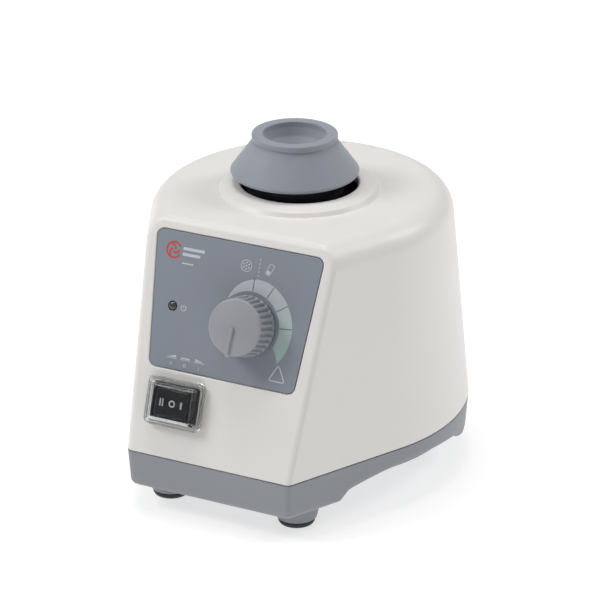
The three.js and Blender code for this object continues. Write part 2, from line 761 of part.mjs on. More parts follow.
// A bearing housing turned as one cup: a wall, a web and a seat round the bearing.
function endShield(name, heights) {
  const seatInner = bearingRadius + gap;
  const rim = tube(motorRadius, motorRadius - 2, ...heights.wall, 0, 0, 28);
  const web = tube(motorRadius - 1, shaftRadius + 1.5, ...heights.web, 0, 0, 28);
  const seat = tube(seatInner + 2, seatInner, ...heights.seat, 0, 0, 20);
  return piece(name, unite(rim, web, seat), aluminium());
}

function bearing(name, z0, inner, outer = bearingRadius, height = bearingHeight, x = 0) {
  return piece(name, tube(outer, inner, z0, z0 + height, x, 0, 20), steel());
}

function stator() {
  let body = tube(motorRadius, statorBore, statorFoot, statorHead, 0, 0, 28);
  for (let i = 0; i < statorSlots; i += 1) {
    const angle = (i + 0.5) * (TAU / statorSlots);
    const [x, y] = [slotRing * Math.cos(angle), slotRing * Math.sin(angle)];
    body = body.subtract(post(2.6, statorFoot - cut, statorHead + cut, x, y, 8));
  }
  return piece('motor_stator', body, steel());
}

function winding(name, z0, z1) {
  return piece(name, tube(motorRadius - 4, statorBore + 2, z0, z1, 0, 0, 28), copper());
}

function rotor() {
  const body = tube(rotorRadius, shaftRadius + gap, statorFoot - 0.5, statorHead + 0.5, 0, 0, 32);
  return piece('motor_rotor', body, steel());
}

function motorShaft() {
  const body = post(shaftRadius, lowerBearing - 0.5, crankFoot + crankBore, 0, 0, 20);
  return piece('motor_shaft', body, steel());
}

function coolingFan() {
  let body = tube(7, shaftRadius + gap, fanFoot, fanFoot + fanThick, 0, 0, 20);
  body = body.add(tube(fanRadius, 6, fanFoot, fanFoot + 1.2, 0, 0, 28));
  for (let i = 0; i < fanBlades; i += 1) {
    const turn = new THREE.Matrix4().makeRotationZ(i * (TAU / fanBlades));
    const blade = block(fanRadius - 8, 1.2, fanThick, fanRadius / 2 + 3.4, 0, fanFoot);
    body = body.add(placed(blade, turn));
  }
  return piece('cooling_fan', body, blackPlastic());
}

// The crank carries the head off centre and a counterweight on the opposite side.
function eccentricCrank() {
  const hub = post(8, crankFoot, crankHead, 0, 0, 20);
  const oneSide = block(weightRadius + 3, 40, 10, (weightRadius + 3) / 2, 0, crankFoot - cut);
  const weight = post(weightRadius, crankFoot, crankHead - 1.5, 0, 0, 28).intersect(oneSide);
  const pin = post(pinRadius, crankHead - 1, pinHead, -eccentricity, 0, 20);
  const bore = post(shaftRadius + gap, crankFoot - cut, crankFoot + crankBore + gap, 0, 0, 24);
  return piece('eccentric_crank', unite(hub, weight, pin).subtract(bore), steel());
}

function headHub() {
  const profile = [
    [0, pinHead + gap],
    [bearingRadius + gap, pinHead + gap],
    [bearingRadius + gap, hubFoot],
    [hubRadius - 0.6, hubFoot],
    [hubRadius, hubFoot + 0.6],
    [hubRadius, neckFoot - 2],
    [neckRadius - 0.8, neckFoot],
    [neckRadius, neckFoot + 0.8],
    [neckRadius, hubHead],
    [spigotRadius, hubHead],
    [spigotRadius, hubHead + spigotHeight],
    [0, hubHead + spigotHeight],
  ];
  return piece('head_hub', turned(profile, 28).translate(-eccentricity, 0, 0), blackPlastic());
}

function cupHead() {
  const skirtTop = rimTop - rimHeight;
  const dishFloor = rimTop - dishDepth;
  const profile = [
    [0, dishFloor],
    [dishFloorRadius, dishFloor],
    [dishRadius - 2.6, dishFloor + 2.6],
    [dishRadius - 0.6, rimTop - 2.2],
    [dishRadius, rimTop - 0.4],
    [dishRadius + 0.5, rimTop],
    [rimRadius - 0.5, rimTop],
    [rimRadius, rimTop - 0.4],
    [rimRadius, skirtTop],
    [rimRadius - 0.5, skirtTop - 0.4],
    [skirtRadius - 0.5, skirtBottom + skirtEdge + 0.6],
    [skirtRadius, skirtBottom + skirtEdge],
    [skirtRadius - 0.4, skirtBottom],
    [skirtRadius - 1.8, skirtBottom],
    [14.4, dishFloor - 1.2],
    [hubRadius - 0.4, dishFloor - 2.6],
    [hubRadius - 0.4, hubHead + gap],
    [spigotRadius + gap, hubHead + gap],
    [spigotRadius + gap, hubHead + spigotHeight + gap],
    [0, hubHead + spigotHeight + gap],
  ];
  return piece('cup_head', turned(profile, 36).translate(-eccentricity, 0, 0), cupRubber());
}

function splashRing() {
  const inner = hubRadius + eccentricity + 1;
  const outer = openingRadius + wall - gap;
  const step = openingRadius + 0.5;
  const top = collarTop - wall - gap;
  const profile = [
    [inner, top - 8],
    [inner + 1.2, top - 8],
    [inner + 2, top - 5.2],
    [step, top - 4.6],
    [step, top - 1.4],
    [outer, top - 1.4],
    [outer, top - 7.4],
    [inner + 1.8, top - 7.4],
    [inner + 1.2, top - 9.2],
    [inner, top - 9.2],
    [inner, top - 8],
  ];
  return piece('splash_ring', turned(profile, 32), blackRubber());
}

// ---------------------------------------------------------------- touch switch and electronics
// The plunger reaches up to the carriage and stays clear of its well's floor when the cup is pressed.
function touchSwitch() {
  const [x, y] = touchPlace;
  const foot = ballastTop + gap;
  const top = plateBottom - pressTravel - 1;
  const wellFloor = plateBottom - gap - plungerSize[2] - pressTravel - gap;
  const body = block(6, 12, top - foot, x, y, foot);
  const well = block(plungerSize[0] + 2 * gap, plungerSize[1] + 2 * gap, 8, x, y + plungerY, wellFloor);
  return piece('touch_switch', body.subtract(well), blackPlastic());
}

function touchPlunger() {
  const [x, y] = touchPlace;
  const foot = plateBottom - gap - plungerSize[2];
  return piece('touch_plunger', block(...plungerSize, x, y + plungerY, foot), plungerRed());
}

function controlBoard() {
  const body = block(boardThick, boardLength, boardHeight, boardX, boardMiddle, ballastTop + gap + 2);
  return piece('control_board', body, boardGreen());
}

function boardBracket() {
  const sheet = 1.5;
  const inner = boardX + boardThick / 2 + gap;
  const foot = block(9, boardLength - 6, sheet, inner + sheet - 4.5, boardMiddle, ballastTop + gap);
  const upright = block(sheet, boardLength - 6, 14, inner + sheet / 2, boardMiddle, ballastTop + gap);
  return piece('board_bracket', unite(foot, upright), aluminium());
}

function boardCapacitor() {
  const length = 9;
  const can = new THREE.CylinderGeometry(6, 6, length, 20);
  can.rotateZ(Math.PI / 2);
  const place = shift(boardX - boardThick / 2 - gap - length / 2, boardMiddle + 8, plateTop + 9);
  return piece('board_capacitor', solid(can, place), capacitorSleeve());
}

function powerTransistor() {
  const thick = 4.4;
  const x = boardX - boardThick / 2 - gap - thick / 2;
  return piece('power_transistor', block(thick, 10, 15, x, boardMiddle - 9, plateTop + 1), blackPlastic());
}

// ---------------------------------------------------------------- the whole object
const mixer = new THREE.Group();
mixer.add(upperCover(), baseTray(), frontPanel());
for (let i = 0; i < feet.length; i += 1) mixer.add(foot(i));
for (let i = 0; i < screwPlaces.length; i += 1) mixer.add(caseScrew(i));
mixer.add(speedKnob(), potShaft(), potBody(), ledLens(), switchHousing(), switchRocker(), switchBoot());
mixer.add(inletBody(), fuseDrawer());
mixer.add(ballastPlate(), carriagePlate(), touchSwitch(), touchPlunger());
for (let i = 0; i < postCount; i += 1) mixer.add(guidePost(i), pressSpring(i));
mixer.add(endShield('lower_end_shield', {
  wall: [motorFoot, statorFoot - gap],
  web: [motorFoot, motorFoot + shieldWeb],
  seat: [motorFoot, lowerBearing + bearingHeight],
}));
mixer.add(endShield('upper_end_shield', {
  wall: [statorHead + gap, motorHead],
  web: [motorHead - shieldWeb, motorHead],
  seat: [upperBearing, motorHead],
}));
mixer.add(bearing('lower_bearing', lowerBearing, shaftRadius + gap));
mixer.add(bearing('upper_bearing', upperBearing, shaftRadius + gap));
mixer.add(winding('lower_winding', statorFoot - windingHeight, statorFoot - gap));
mixer.add(winding('upper_winding', statorHead + gap, statorHead + windingHeight));
mixer.add(stator(), rotor(), motorShaft(), coolingFan(), eccentricCrank());
mixer.add(bearing('head_bearing', hubFoot + 0.6, pinRadius + gap, bearingRadius, 9, -eccentricity));
mixer.add(headHub(), cupHead(), splashRing());
mixer.add(controlBoard(), boardBracket(), boardCapacitor(), powerTransistor());

const box = new THREE.Box3().setFromObject(mixer);
mixer.position.y = -(box.min.y + box.max.y) / 2;

export default mixer;
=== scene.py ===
"""Vortex mixer: the visible surfaces of a benchtop shaker, laid over its mechanical frame.

Lengths are millimetres until a mesh is made, and metres from then on. The control panel faces -Y.
"""
import json

import bmesh
import bpy
import numpy as np
from bpy.props import FloatProperty, FloatVectorProperty, IntProperty, PointerProperty
from mathutils import Vector
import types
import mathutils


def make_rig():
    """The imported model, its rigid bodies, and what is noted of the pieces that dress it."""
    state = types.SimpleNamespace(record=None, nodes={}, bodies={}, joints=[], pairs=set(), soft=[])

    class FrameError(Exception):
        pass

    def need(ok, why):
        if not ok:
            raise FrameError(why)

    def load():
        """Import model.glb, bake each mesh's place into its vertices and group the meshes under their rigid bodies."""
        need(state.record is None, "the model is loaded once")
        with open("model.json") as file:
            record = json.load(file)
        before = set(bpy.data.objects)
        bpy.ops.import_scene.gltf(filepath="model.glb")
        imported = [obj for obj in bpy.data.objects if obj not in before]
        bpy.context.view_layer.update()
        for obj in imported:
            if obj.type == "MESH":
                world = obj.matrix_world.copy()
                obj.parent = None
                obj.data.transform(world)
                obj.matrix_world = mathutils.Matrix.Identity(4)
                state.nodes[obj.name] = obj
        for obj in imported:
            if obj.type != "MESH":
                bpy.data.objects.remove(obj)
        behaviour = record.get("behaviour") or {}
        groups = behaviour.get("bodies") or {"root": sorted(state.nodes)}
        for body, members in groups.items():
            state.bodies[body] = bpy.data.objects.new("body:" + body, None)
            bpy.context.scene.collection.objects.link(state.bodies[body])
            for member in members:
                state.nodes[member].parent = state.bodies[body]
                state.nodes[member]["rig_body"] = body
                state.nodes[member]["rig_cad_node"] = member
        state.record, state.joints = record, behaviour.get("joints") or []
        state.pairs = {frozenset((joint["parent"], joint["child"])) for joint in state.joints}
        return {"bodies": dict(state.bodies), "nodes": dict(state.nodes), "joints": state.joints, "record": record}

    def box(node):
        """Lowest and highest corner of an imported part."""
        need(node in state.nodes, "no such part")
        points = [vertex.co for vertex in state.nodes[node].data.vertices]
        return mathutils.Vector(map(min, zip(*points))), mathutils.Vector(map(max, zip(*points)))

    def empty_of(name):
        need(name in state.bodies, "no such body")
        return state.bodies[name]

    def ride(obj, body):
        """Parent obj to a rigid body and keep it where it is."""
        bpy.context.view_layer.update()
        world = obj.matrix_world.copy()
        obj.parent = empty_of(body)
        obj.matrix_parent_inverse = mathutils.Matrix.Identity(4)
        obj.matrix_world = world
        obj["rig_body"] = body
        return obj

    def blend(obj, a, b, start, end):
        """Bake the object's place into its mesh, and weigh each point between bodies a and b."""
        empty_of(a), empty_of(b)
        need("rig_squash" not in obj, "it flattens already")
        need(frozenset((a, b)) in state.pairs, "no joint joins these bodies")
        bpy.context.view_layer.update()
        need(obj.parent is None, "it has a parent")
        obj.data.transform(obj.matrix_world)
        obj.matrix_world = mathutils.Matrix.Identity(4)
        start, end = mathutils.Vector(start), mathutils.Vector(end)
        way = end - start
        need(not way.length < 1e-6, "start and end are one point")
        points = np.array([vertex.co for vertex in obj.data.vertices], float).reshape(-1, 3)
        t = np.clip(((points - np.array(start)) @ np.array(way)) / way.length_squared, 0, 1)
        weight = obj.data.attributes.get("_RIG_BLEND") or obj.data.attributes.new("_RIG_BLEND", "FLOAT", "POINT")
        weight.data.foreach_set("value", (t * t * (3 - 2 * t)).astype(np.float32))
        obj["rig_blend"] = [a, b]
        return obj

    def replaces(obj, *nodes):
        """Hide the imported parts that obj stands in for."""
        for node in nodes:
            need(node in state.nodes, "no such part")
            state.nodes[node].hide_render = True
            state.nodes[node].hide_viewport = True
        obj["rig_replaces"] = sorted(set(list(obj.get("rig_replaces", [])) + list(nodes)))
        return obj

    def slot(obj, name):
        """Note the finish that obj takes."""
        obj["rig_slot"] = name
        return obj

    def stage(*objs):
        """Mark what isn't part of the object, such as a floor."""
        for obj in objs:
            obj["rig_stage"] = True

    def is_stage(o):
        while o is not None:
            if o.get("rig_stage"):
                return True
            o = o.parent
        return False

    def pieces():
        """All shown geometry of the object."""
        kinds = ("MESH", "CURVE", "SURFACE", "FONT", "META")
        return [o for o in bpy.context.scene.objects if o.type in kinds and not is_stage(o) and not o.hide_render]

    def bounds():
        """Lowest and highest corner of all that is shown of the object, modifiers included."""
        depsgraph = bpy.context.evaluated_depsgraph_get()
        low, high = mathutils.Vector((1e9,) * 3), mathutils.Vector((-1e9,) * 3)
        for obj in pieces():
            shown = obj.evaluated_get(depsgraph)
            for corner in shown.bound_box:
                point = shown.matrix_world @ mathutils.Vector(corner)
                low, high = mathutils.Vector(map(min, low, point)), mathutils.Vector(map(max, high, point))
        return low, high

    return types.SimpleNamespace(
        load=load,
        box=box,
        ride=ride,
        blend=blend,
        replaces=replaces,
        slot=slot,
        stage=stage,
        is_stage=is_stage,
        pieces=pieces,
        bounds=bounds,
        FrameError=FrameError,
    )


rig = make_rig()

bl_info = {
    "name": "Vortex Mixer",
    "version": (1, 0, 0),
    "blender": (4, 5, 0),
    "location": "3D View > Sidebar > Mixer",
    "description": "Builds the shell, cup, knob, switch and finishes of a vortex mixer round its frame",
    "category": "Object",
}

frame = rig.load()
cad_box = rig.bounds()

MM = 0.001
SIZE_FILE = "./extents.json"


# ---------------------------------------------------------------- places read from the frame
def box(node):
    """Lowest and highest corner of a CAD node, in millimetres."""
    low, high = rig.box(node)
    return np.array(low) / MM, np.array(high) / MM


def joint(name):
    """The point and the unit axis of a joint, in millimetres."""
    found = next(j for j in frame["joints"] if j["name"] == name)
    axis = np.array(found["axis"], float)
    return np.array(found["pos_m"], float) / MM, axis / np.linalg.norm(axis)


def plan_middle(node):
    """Middle of a CAD node seen from above."""
    low, high = box(node)
    return ((low + high) / 2)[:2]


GAP = 0.3                # clearance between neighbouring pieces
DRIVE_Y = plan_middle("motor_shaft")[1]
CUP_LOW, CUP_HIGH = box("cup_head")
CUP_X, CUP_Y = plan_middle("cup_head")
SEAM = box("base_tray")[1][2] + GAP / 2
BASE_BOTTOM = 9.8
COLLAR_TOP = box("upper_cover")[1][2]
COLLAR_RISE = 3.0
COVER_TOP = COLLAR_TOP - COLLAR_RISE

# plan of the casing at the seam, measured from the drive axis
HALF_WIDTH = 63.5
BACK_REACH = 66.5
BACK_CENTRE = 2.4
FRONT_REACH = 75.0
FRONT_HALF = 33.3
CORNER = 2.8
WALL = 3.0
SIDE_LEAN = 0.095
FRONT_LEAN = 0.345
TOP_FILLET = 10.0
FRONT_FILLET = 3.6
BASE_TAPER = 0.07
BASE_FILLET = 2.6
OPENING = 22.0
COLLAR_FOOT = OPENING + 8
FLOOR_LOW, FLOOR_HIGH = 15.8, 18.3
ARCH = (-53.0, 18.0)
ARCH_HEIGHT = 7.5
ARCH_STEP = 3.5

# front face: x to the right, s up the slope from the seam, n outwards
KNOB_AT, FACE_OUT = joint("speed_knob_turn")
ROCKER_AT = joint("switch_rocker_tilt")[0]
FACE_RIGHT = np.array([1.0, 0.0, 0.0])
FACE_AXES = np.array([FACE_RIGHT, np.cross(FACE_OUT, FACE_RIGHT), FACE_OUT])
FACE_FOOT = np.array([0.0, DRIVE_Y - FRONT_REACH, SEAM])

# rear inlet: x to the right as seen from behind, y up, z outwards
BACK_ANGLE = np.arctan(SIDE_LEAN)
INLET_OUT = np.array([0.0, np.cos(BACK_ANGLE), np.sin(BACK_ANGLE)])
INLET_UP = np.array([0.0, -np.sin(BACK_ANGLE), np.cos(BACK_ANGLE)])
INLET_AXES = np.array([-FACE_RIGHT, INLET_UP, INLET_OUT])
INLET_SIZE = (31.0, 36.0)
INLET_FLANGE = 2.0
INLET_DEPTH = 22.0


def along(point, foot, axes):
    """A point's three measures along the axes of a local frame."""
    return (np.asarray(point) - foot) @ axes.T


def face_place(point):
    """The x and s of a point on the front face."""
    return along(point, FACE_FOOT, FACE_AXES)[:2]


KNOB_PLACE = face_place(KNOB_AT)
SWITCH_PLACE = face_place(ROCKER_AT)
LAMP_ABOVE_SWITCH = 35.0
LAMP_PLACE = np.array([plan_middle("power_light")[0], SWITCH_PLACE[1] + LAMP_ABOVE_SWITCH])


def inlet_foot():
    """Middle of the flat seat of the inlet, from the corners of its flange."""
    high = box("power_inlet")[1]
    half = INLET_SIZE[1] / 2
    reach = GAP + INLET_FLANGE
    y = high[1] - half * np.sin(BACK_ANGLE) - reach * np.cos(BACK_ANGLE)
    z = high[2] - half * np.cos(BACK_ANGLE) - reach * np.sin(BACK_ANGLE)
    return np.array([0.0, y, z])


INLET_FOOT = inlet_foot()


# ---------------------------------------------------------------- surfaces
def skin(rows, closed=False, start=None, end=None):
    """Vertices, quads and triangles of a grid of points [row, column, axis] whose columns close round.

    Quad (r, c) joins points (r, c), (r+1, c), (r+1, c+1), (r, c+1). closed joins the last row to the
    first; start and end are points that close the first and the last row with a fan. The faces are
    turned so that the enclosed volume, the sum of a . (b x c) / 6, is positive.
    """
    count, around = rows.shape[:2]
    index = np.arange(count * around).reshape(count, around)
    down = np.vstack([index, index[:1]]) if closed else index
    right = np.roll(down, -1, axis=1)
    quads = np.stack([down[:-1], down[1:], right[1:], right[:-1]], axis=-1).reshape(-1, 4)
    points = rows.reshape(-1, 3)
    fans = [np.zeros((0, 3), int)]
    for row, middle, turn in ((0, start, 1), (count - 1, end, -1)):
        if middle is not None:
            hub = np.full(around, len(points))
            fans.append(np.stack([hub, index[row], np.roll(index[row], -1)], axis=-1)[:, ::turn])
            points = np.vstack([points, middle])
    triangles = np.vstack(fans)
    corners = points[np.vstack([quads[:, :3], quads[:, [0, 2, 3]], triangles])]
    volume = np.einsum("ij,ij->", corners[:, 0], np.cross(corners[:, 1], corners[:, 2]))
    if volume < 0:
        quads, triangles = quads[:, ::-1], triangles[:, ::-1]
    return points, quads.tolist() + triangles.tolist()


def rounded(corners, radii, steps=5):
    """A line through the corners in which each corner with a radius is an arc of that radius.

    The arc's centre lies on the bisector at radius / sin(half angle), and the arc meets both sides
    at radius / tan(half angle) from the corner.
    """
    corners = np.asarray(corners, float)
    line = []
    for before, corner, after, radius in zip(corners[:-2], corners[1:-1], corners[2:], radii):
        if not radius:
            line.append(corner)
            continue
        a = (before - corner) / np.linalg.norm(before - corner)
        b = (after - corner) / np.linalg.norm(after - corner)
        half = np.arccos(np.clip(a @ b, -1, 1)) / 2
        reach = min(radius / np.tan(half), 0.49 * min(map(np.linalg.norm, (before - corner, after - corner))))
        centre = corner + (a + b) / np.linalg.norm(a + b) * reach / np.cos(half)
        first, last = corner + a * reach - centre, corner + b * reach - centre
        turn = np.linspace(0, 1, steps + 1)[:, None]
        angle = np.pi - 2 * half
        arc = (np.sin((1 - turn) * angle) * first + np.sin(turn * angle) * last) / np.sin(angle)
        line.extend(centre + arc)
    return np.vstack([corners[:1], line, corners[-1:]])


def turned(profile, middle=(0.0, 0.0), steps=96, closed=False):
    """A profile of [radius, height] points turned about the upright axis through middle.

    Point (p, a) lies at (x + r cos a, y + r sin a, z). A profile that starts or ends on the axis is
    closed there by one point.
    """
    profile = np.asarray(profile, float)
    ends = [None, None]
    if not closed:
        for side in (0, -1):
            if profile[side, 0] < 1e-6:
                ends[side] = (*middle, profile[side, 1])
        first = 1 if ends[0] else 0
        last = len(profile) - (1 if ends[-1] else 0)
        profile = profile[first:last]
    angle = np.linspace(0, 2 * np.pi, steps, endpoint=False)
    radius, height = profile[:, :1], profile[:, 1:]
    x = middle[0] + radius * np.cos(angle)
    y = middle[1] + radius * np.sin(angle)
    return skin(np.stack([x, y, height + 0 * x], axis=-1), closed, ends[0], ends[-1])


def rectangle(width, height, radius, steps=8, middle=(0.0, 0.0)):
    """A rectangle's outline with its four corners as quarter circles, anticlockwise."""
    quarter = np.linspace(0, np.pi / 2, steps + 1)
    angle = (np.arange(4)[:, None] * np.pi / 2 + quarter).ravel()
    corner = np.repeat([[1, 1], [-1, 1], [-1, -1], [1, -1]], steps + 1, axis=0)
    centre = corner * (np.array([width, height]) / 2 - radius)
    return centre + radius * np.column_stack([np.cos(angle), np.sin(angle)]) + middle


def stacked(outlines, heights):
    """A solid whose section at each height is the outline given for it, closed flat at both ends."""
    rows = np.stack([np.column_stack([o, np.full(len(o), h)]) for o, h in zip(outlines, heights)])
    return skin(rows, start=rows[0].mean(0), end=rows[-1].mean(0))


def slab(width, height, radius, low, high, edge=0.0, middle=(0.0, 0.0)):
    """A rounded rectangle from low to high; its upper edge is a quarter circle of radius edge."""
    turn = np.linspace(0, np.pi / 2, 5)
    inset = np.concatenate([[0.0], edge * (1 - np.cos(turn))]) if edge else np.zeros(2)
    level = np.concatenate([[low], high - edge + edge * np.sin(turn)]) if edge else np.array([low, high])
    outlines = [rectangle(width - 2 * i, height - 2 * i, max(radius - i, 0.05), middle=middle) for i in inset]
    return stacked(outlines, level)


def ribbon(path, width, low, high, closed=False):
    """A strip of constant width that follows a flat path, between two heights.

    Each point moves half the width to both sides along the path's normal (-dy, dx).
    """
    path = np.asarray(path, float)
    if closed:
        ahead, behind = np.roll(path, -1, axis=0), np.roll(path, 1, axis=0)
    else:
        ahead = np.vstack([path[1:], path[-1:]])
        behind = np.vstack([path[:1], path[:-1]])
    step = ahead - behind
    normal = np.column_stack([-step[:, 1], step[:, 0]]) / np.linalg.norm(step, axis=1, keepdims=True)
    left, right = path + normal * width / 2, path - normal * width / 2
    section = [(left, low), (right, low), (right, high), (left, high)]
    rows = np.stack([np.column_stack([side, np.full(len(path), z)]) for side, z in section], axis=1)
    ends = (None, None) if closed else (rows[0].mean(0), rows[-1].mean(0))
    return skin(rows, closed, *ends)


def arc(middle, radius, start, stop, steps=24):
    """Points on a circle from one angle to another, in degrees."""
    angle = np.radians(np.linspace(start, stop, steps))
    return np.asarray(middle) + radius * np.column_stack([np.cos(angle), np.sin(angle)])


def moved(solid, foot, axes):
    """A solid carried from its local frame to the row frame."""
    points, faces = solid
    return points @ axes + foot, faces


def on_face(solid, place=(0.0, 0.0), height=0.0):
    """A solid carried onto the front face at x and s."""
    foot = FACE_FOOT + np.array([*place, height]) @ FACE_AXES
    return moved(solid, foot, FACE_AXES)


def on_back(solid):
    """A solid carried onto the seat of the inlet."""
    return moved(solid, INLET_FOOT, INLET_AXES)


# ---------------------------------------------------------------- meshes
def make(name, *solids):
    """A mesh object at the origin from closed solids in millimetres."""
    points, faces, start = [], [], 0
    for solid_points, solid_faces in solids:
        points.append(solid_points)
        faces.extend([[i + start for i in face] for face in solid_faces])
        start += len(solid_points)
    mesh = bpy.data.meshes.new(name)
    mesh.from_pydata((np.vstack(points) * MM).tolist(), [], faces)
    mesh.update()
    piece = bpy.data.objects.new(name, mesh)
    bpy.context.scene.collection.objects.link(piece)
    return piece


def combine(piece, operation, *solids):
    """Joins or cuts the piece with closed solids, one after another."""
    for solid in solids:
        tool = make("tool", solid)
        modifier = piece.modifiers.new("combine", "BOOLEAN")
        modifier.operation = operation
        modifier.solver = "EXACT"
        modifier.object = tool
        graph = bpy.context.evaluated_depsgraph_get()
        result = bpy.data.meshes.new_from_object(piece.evaluated_get(graph))
        piece.modifiers.remove(modifier)
        spent = (piece.data, tool.data)
        piece.data = result
        bpy.data.objects.remove(tool)
        for mesh in spent:
            bpy.data.meshes.remove(mesh)
    return piece


def finished(piece, body, material, slot, *nodes, sharp=32.0, weighted=True):
    """Shades, paints and names the piece, sets it on its body and lets it stand for its CAD nodes.

    Without a body the piece is left free, for a piece that bends between two bodies.
    """
    if not piece.data.polygons:
        raise RuntimeError(f"{piece.name} has come out empty")
    piece.data.name = piece.name
    piece.data.shade_smooth()
    piece.data.set_sharp_from_angle(angle=np.radians(sharp))
    if weighted:
        modifier = piece.modifiers.new("flat faces lead", "WEIGHTED_NORMAL")
        modifier.keep_sharp = True
    piece.data.materials.clear()
    piece.data.materials.append(material)
    if body:
        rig.ride(piece, body)
    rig.slot(piece, slot)
    if nodes:
        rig.replaces(piece, *nodes)
    return piece


# ---------------------------------------------------------------- plan of the casing
FRONT_STEPS, CORNER_STEPS, SIDE_STEPS, BACK_STEPS = 10, 8, 44, 44


def tangent(x, y, radius_x, radius_y):
    """Angle on the round back at which a line from the front corner (x, y) touches it.

    The plane is squeezed until the ellipse is a circle; the angle is then that of the corner plus
    acos(radius / distance).
    """
    dy = (y - BACK_CENTRE) * radius_x / radius_y
    return np.arctan2(dy, x) + np.arccos(radius_x / np.hypot(x, dy))


TOUCH = tangent(FRONT_HALF, -FRONT_REACH, HALF_WIDTH, BACK_REACH)
SLANT = np.arctan2(
    HALF_WIDTH * np.cos(TOUCH) - FRONT_HALF,
    BACK_CENTRE + BACK_REACH * np.sin(TOUCH) + FRONT_REACH,
)


def front_corner(side, front):
    """The front corner once the side walls move in by side and the front face by front."""
    return FRONT_HALF + (front * np.sin(SLANT) - side) / np.cos(SLANT), front - FRONT_REACH


def outline(side, front, height):
    """Rows of the casing's plan, [row, column, axis], one for each moved-in pair and height.

    The right half runs along the front face, round a corner arc, along the slanted side to its
    touching point and round the elliptical back; the left half mirrors it.
    """
    side, front, height = (np.atleast_1d(v).astype(float)[:, None] for v in (side, front, height))
    centre_x, centre_y = front_corner(side + CORNER, front + CORNER)
    edge_x, edge_y = front_corner(side, front)
    radius_x, radius_y = HALF_WIDTH - side, BACK_REACH - side
    touch = tangent(edge_x, edge_y, radius_x, radius_y)
    share = np.linspace(0, 1, FRONT_STEPS, endpoint=False)
    turn = -np.pi / 2 + (np.pi / 2 - SLANT) * np.linspace(0, 1, CORNER_STEPS + 1)
    corner_x, corner_y = centre_x + CORNER * np.cos(turn), centre_y + CORNER * np.sin(turn)
    back = touch + (np.pi / 2 - touch) * np.linspace(0, 1, BACK_STEPS + 1)
    back_x, back_y = radius_x * np.cos(back), BACK_CENTRE + radius_y * np.sin(back)
    way = np.linspace(0, 1, SIDE_STEPS + 1)[1:-1]
    side_x = corner_x[:, -1:] * (1 - way) + back_x[:, :1] * way
    side_y = corner_y[:, -1:] * (1 - way) + back_y[:, :1] * way
    x = np.hstack([centre_x * share, corner_x, side_x, back_x])
    y = np.hstack([edge_y + 0 * share, corner_y, side_y, back_y])
    x, y = np.hstack([x, -x[:, -2:0:-1]]), np.hstack([y, y[:, -2:0:-1]])
    return np.stack([x, y + DRIVE_Y, height + 0 * x], axis=-1)


def moved_in(height, lean, fillet, top):
    """How far a leaning wall has moved in at a height, with a fillet under the top.

    Below the fillet it is lean * (height - seam); on it, the fillet's circle.
    """
    slope = np.hypot(1, lean)
    centre = top - fillet
    centre_in = lean * (centre - SEAM) + fillet * slope
    on_arc = centre_in - np.sqrt(np.clip(fillet**2 - (height - centre) ** 2, 0, None))
    return np.where(height <= centre + fillet * lean / slope, lean * (height - SEAM), on_arc)


def cover_rows(inset, low):
    """Rows of the cover from its top edge down to a height, moved in by inset."""
    top = COVER_TOP - inset
    side_fillet, front_fillet = TOP_FILLET - inset, max(FRONT_FILLET - inset, 1.0)
    wall_top = top - side_fillet
    fillet = wall_top + side_fillet * np.cos(np.radians(np.linspace(0, 90, 19)))
    front_start = top - front_fillet
    near_front = front_start + front_fillet * np.cos(np.radians(np.linspace(0, 90, 9)))
    wall = np.linspace(wall_top, low, 16)[1:]
    height = np.unique(np.round(np.concatenate([fillet, near_front, wall]), 4))[::-1]
    side = inset + moved_in(height, SIDE_LEAN, side_fillet, top)
    front = inset * np.hypot(1, FRONT_LEAN) + moved_in(height, FRONT_LEAN, front_fillet, top)
    return outline(side, front, height)


def circle_rows(profile, angle):
    """Rows of rings about the drive axis, one column for each angle."""
    profile = np.asarray(profile, float)
    x = profile[:, :1] * np.cos(angle)
    y = profile[:, :1] * np.sin(angle) + DRIVE_Y
    return np.stack([x, y, profile[:, 1:] + 0 * x], axis=-1)


def plateau(ring, edge, steps):
    """Rows between a ring and the casing's edge, in equal steps, without either end."""
    share = np.linspace(0, 1, steps + 2)[1:-1, None, None]
    return ring * (1 - share) + edge * share


# ---------------------------------------------------------------- finishes
def linear(code):
    """An sRGB hex colour as linear RGB."""
    value = np.array([int(code[i:i + 2], 16) for i in (1, 3, 5)]) / 255
    return tuple(np.where(value <= 0.04045, value / 12.92, ((value + 0.055) / 1.055) ** 2.4))


def add(tree, kind, inputs=(), **settings):
    """Adds a node, sets its settings, and sets or links its inputs."""
    node = tree.nodes.new(kind)
    for name, value in settings.items():
        setattr(node, name, value)
    for name, value in dict(inputs).items():
        if isinstance(value, bpy.types.NodeSocket):
            tree.links.new(value, node.inputs[name])
        else:
            node.inputs[name].default_value = value
    return node


def material(name, shader_inputs):
    """An empty material with a Principled shader; returns the material, its tree and the shader."""
    made = bpy.data.materials.new(name)
    made.use_nodes = True
    tree = made.node_tree
    tree.nodes.clear()
    shader = add(tree, "ShaderNodeBsdfPrincipled", shader_inputs)
    add(tree, "ShaderNodeOutputMaterial", {"Surface": shader.outputs[0]})
    return made, tree, shader


def pattern(tree, size, detail=2.0, stretch=(1.0, 1.0, 1.0)):
    """A noise on Object coordinates whose features are about size millimetres across."""
    place = add(tree, "ShaderNodeTexCoord")
    fitted = add(tree, "ShaderNodeMapping", {"Vector": place.outputs["Object"], "Scale": stretch})
    noise = add(
        tree, "ShaderNodeTexNoise",
        {"Vector": fitted.outputs[0], "Scale": 1 / (size * MM), "Detail": detail, "Roughness": 0.55},
    )
    return noise.outputs["Fac"]


NOISE_SPAN = {"From Min": 0.3, "From Max": 0.7}     # where nearly all values of a noise lie
BAND_PITCH = 2 * np.pi / 20                         # from band to band of a wave at scale 1


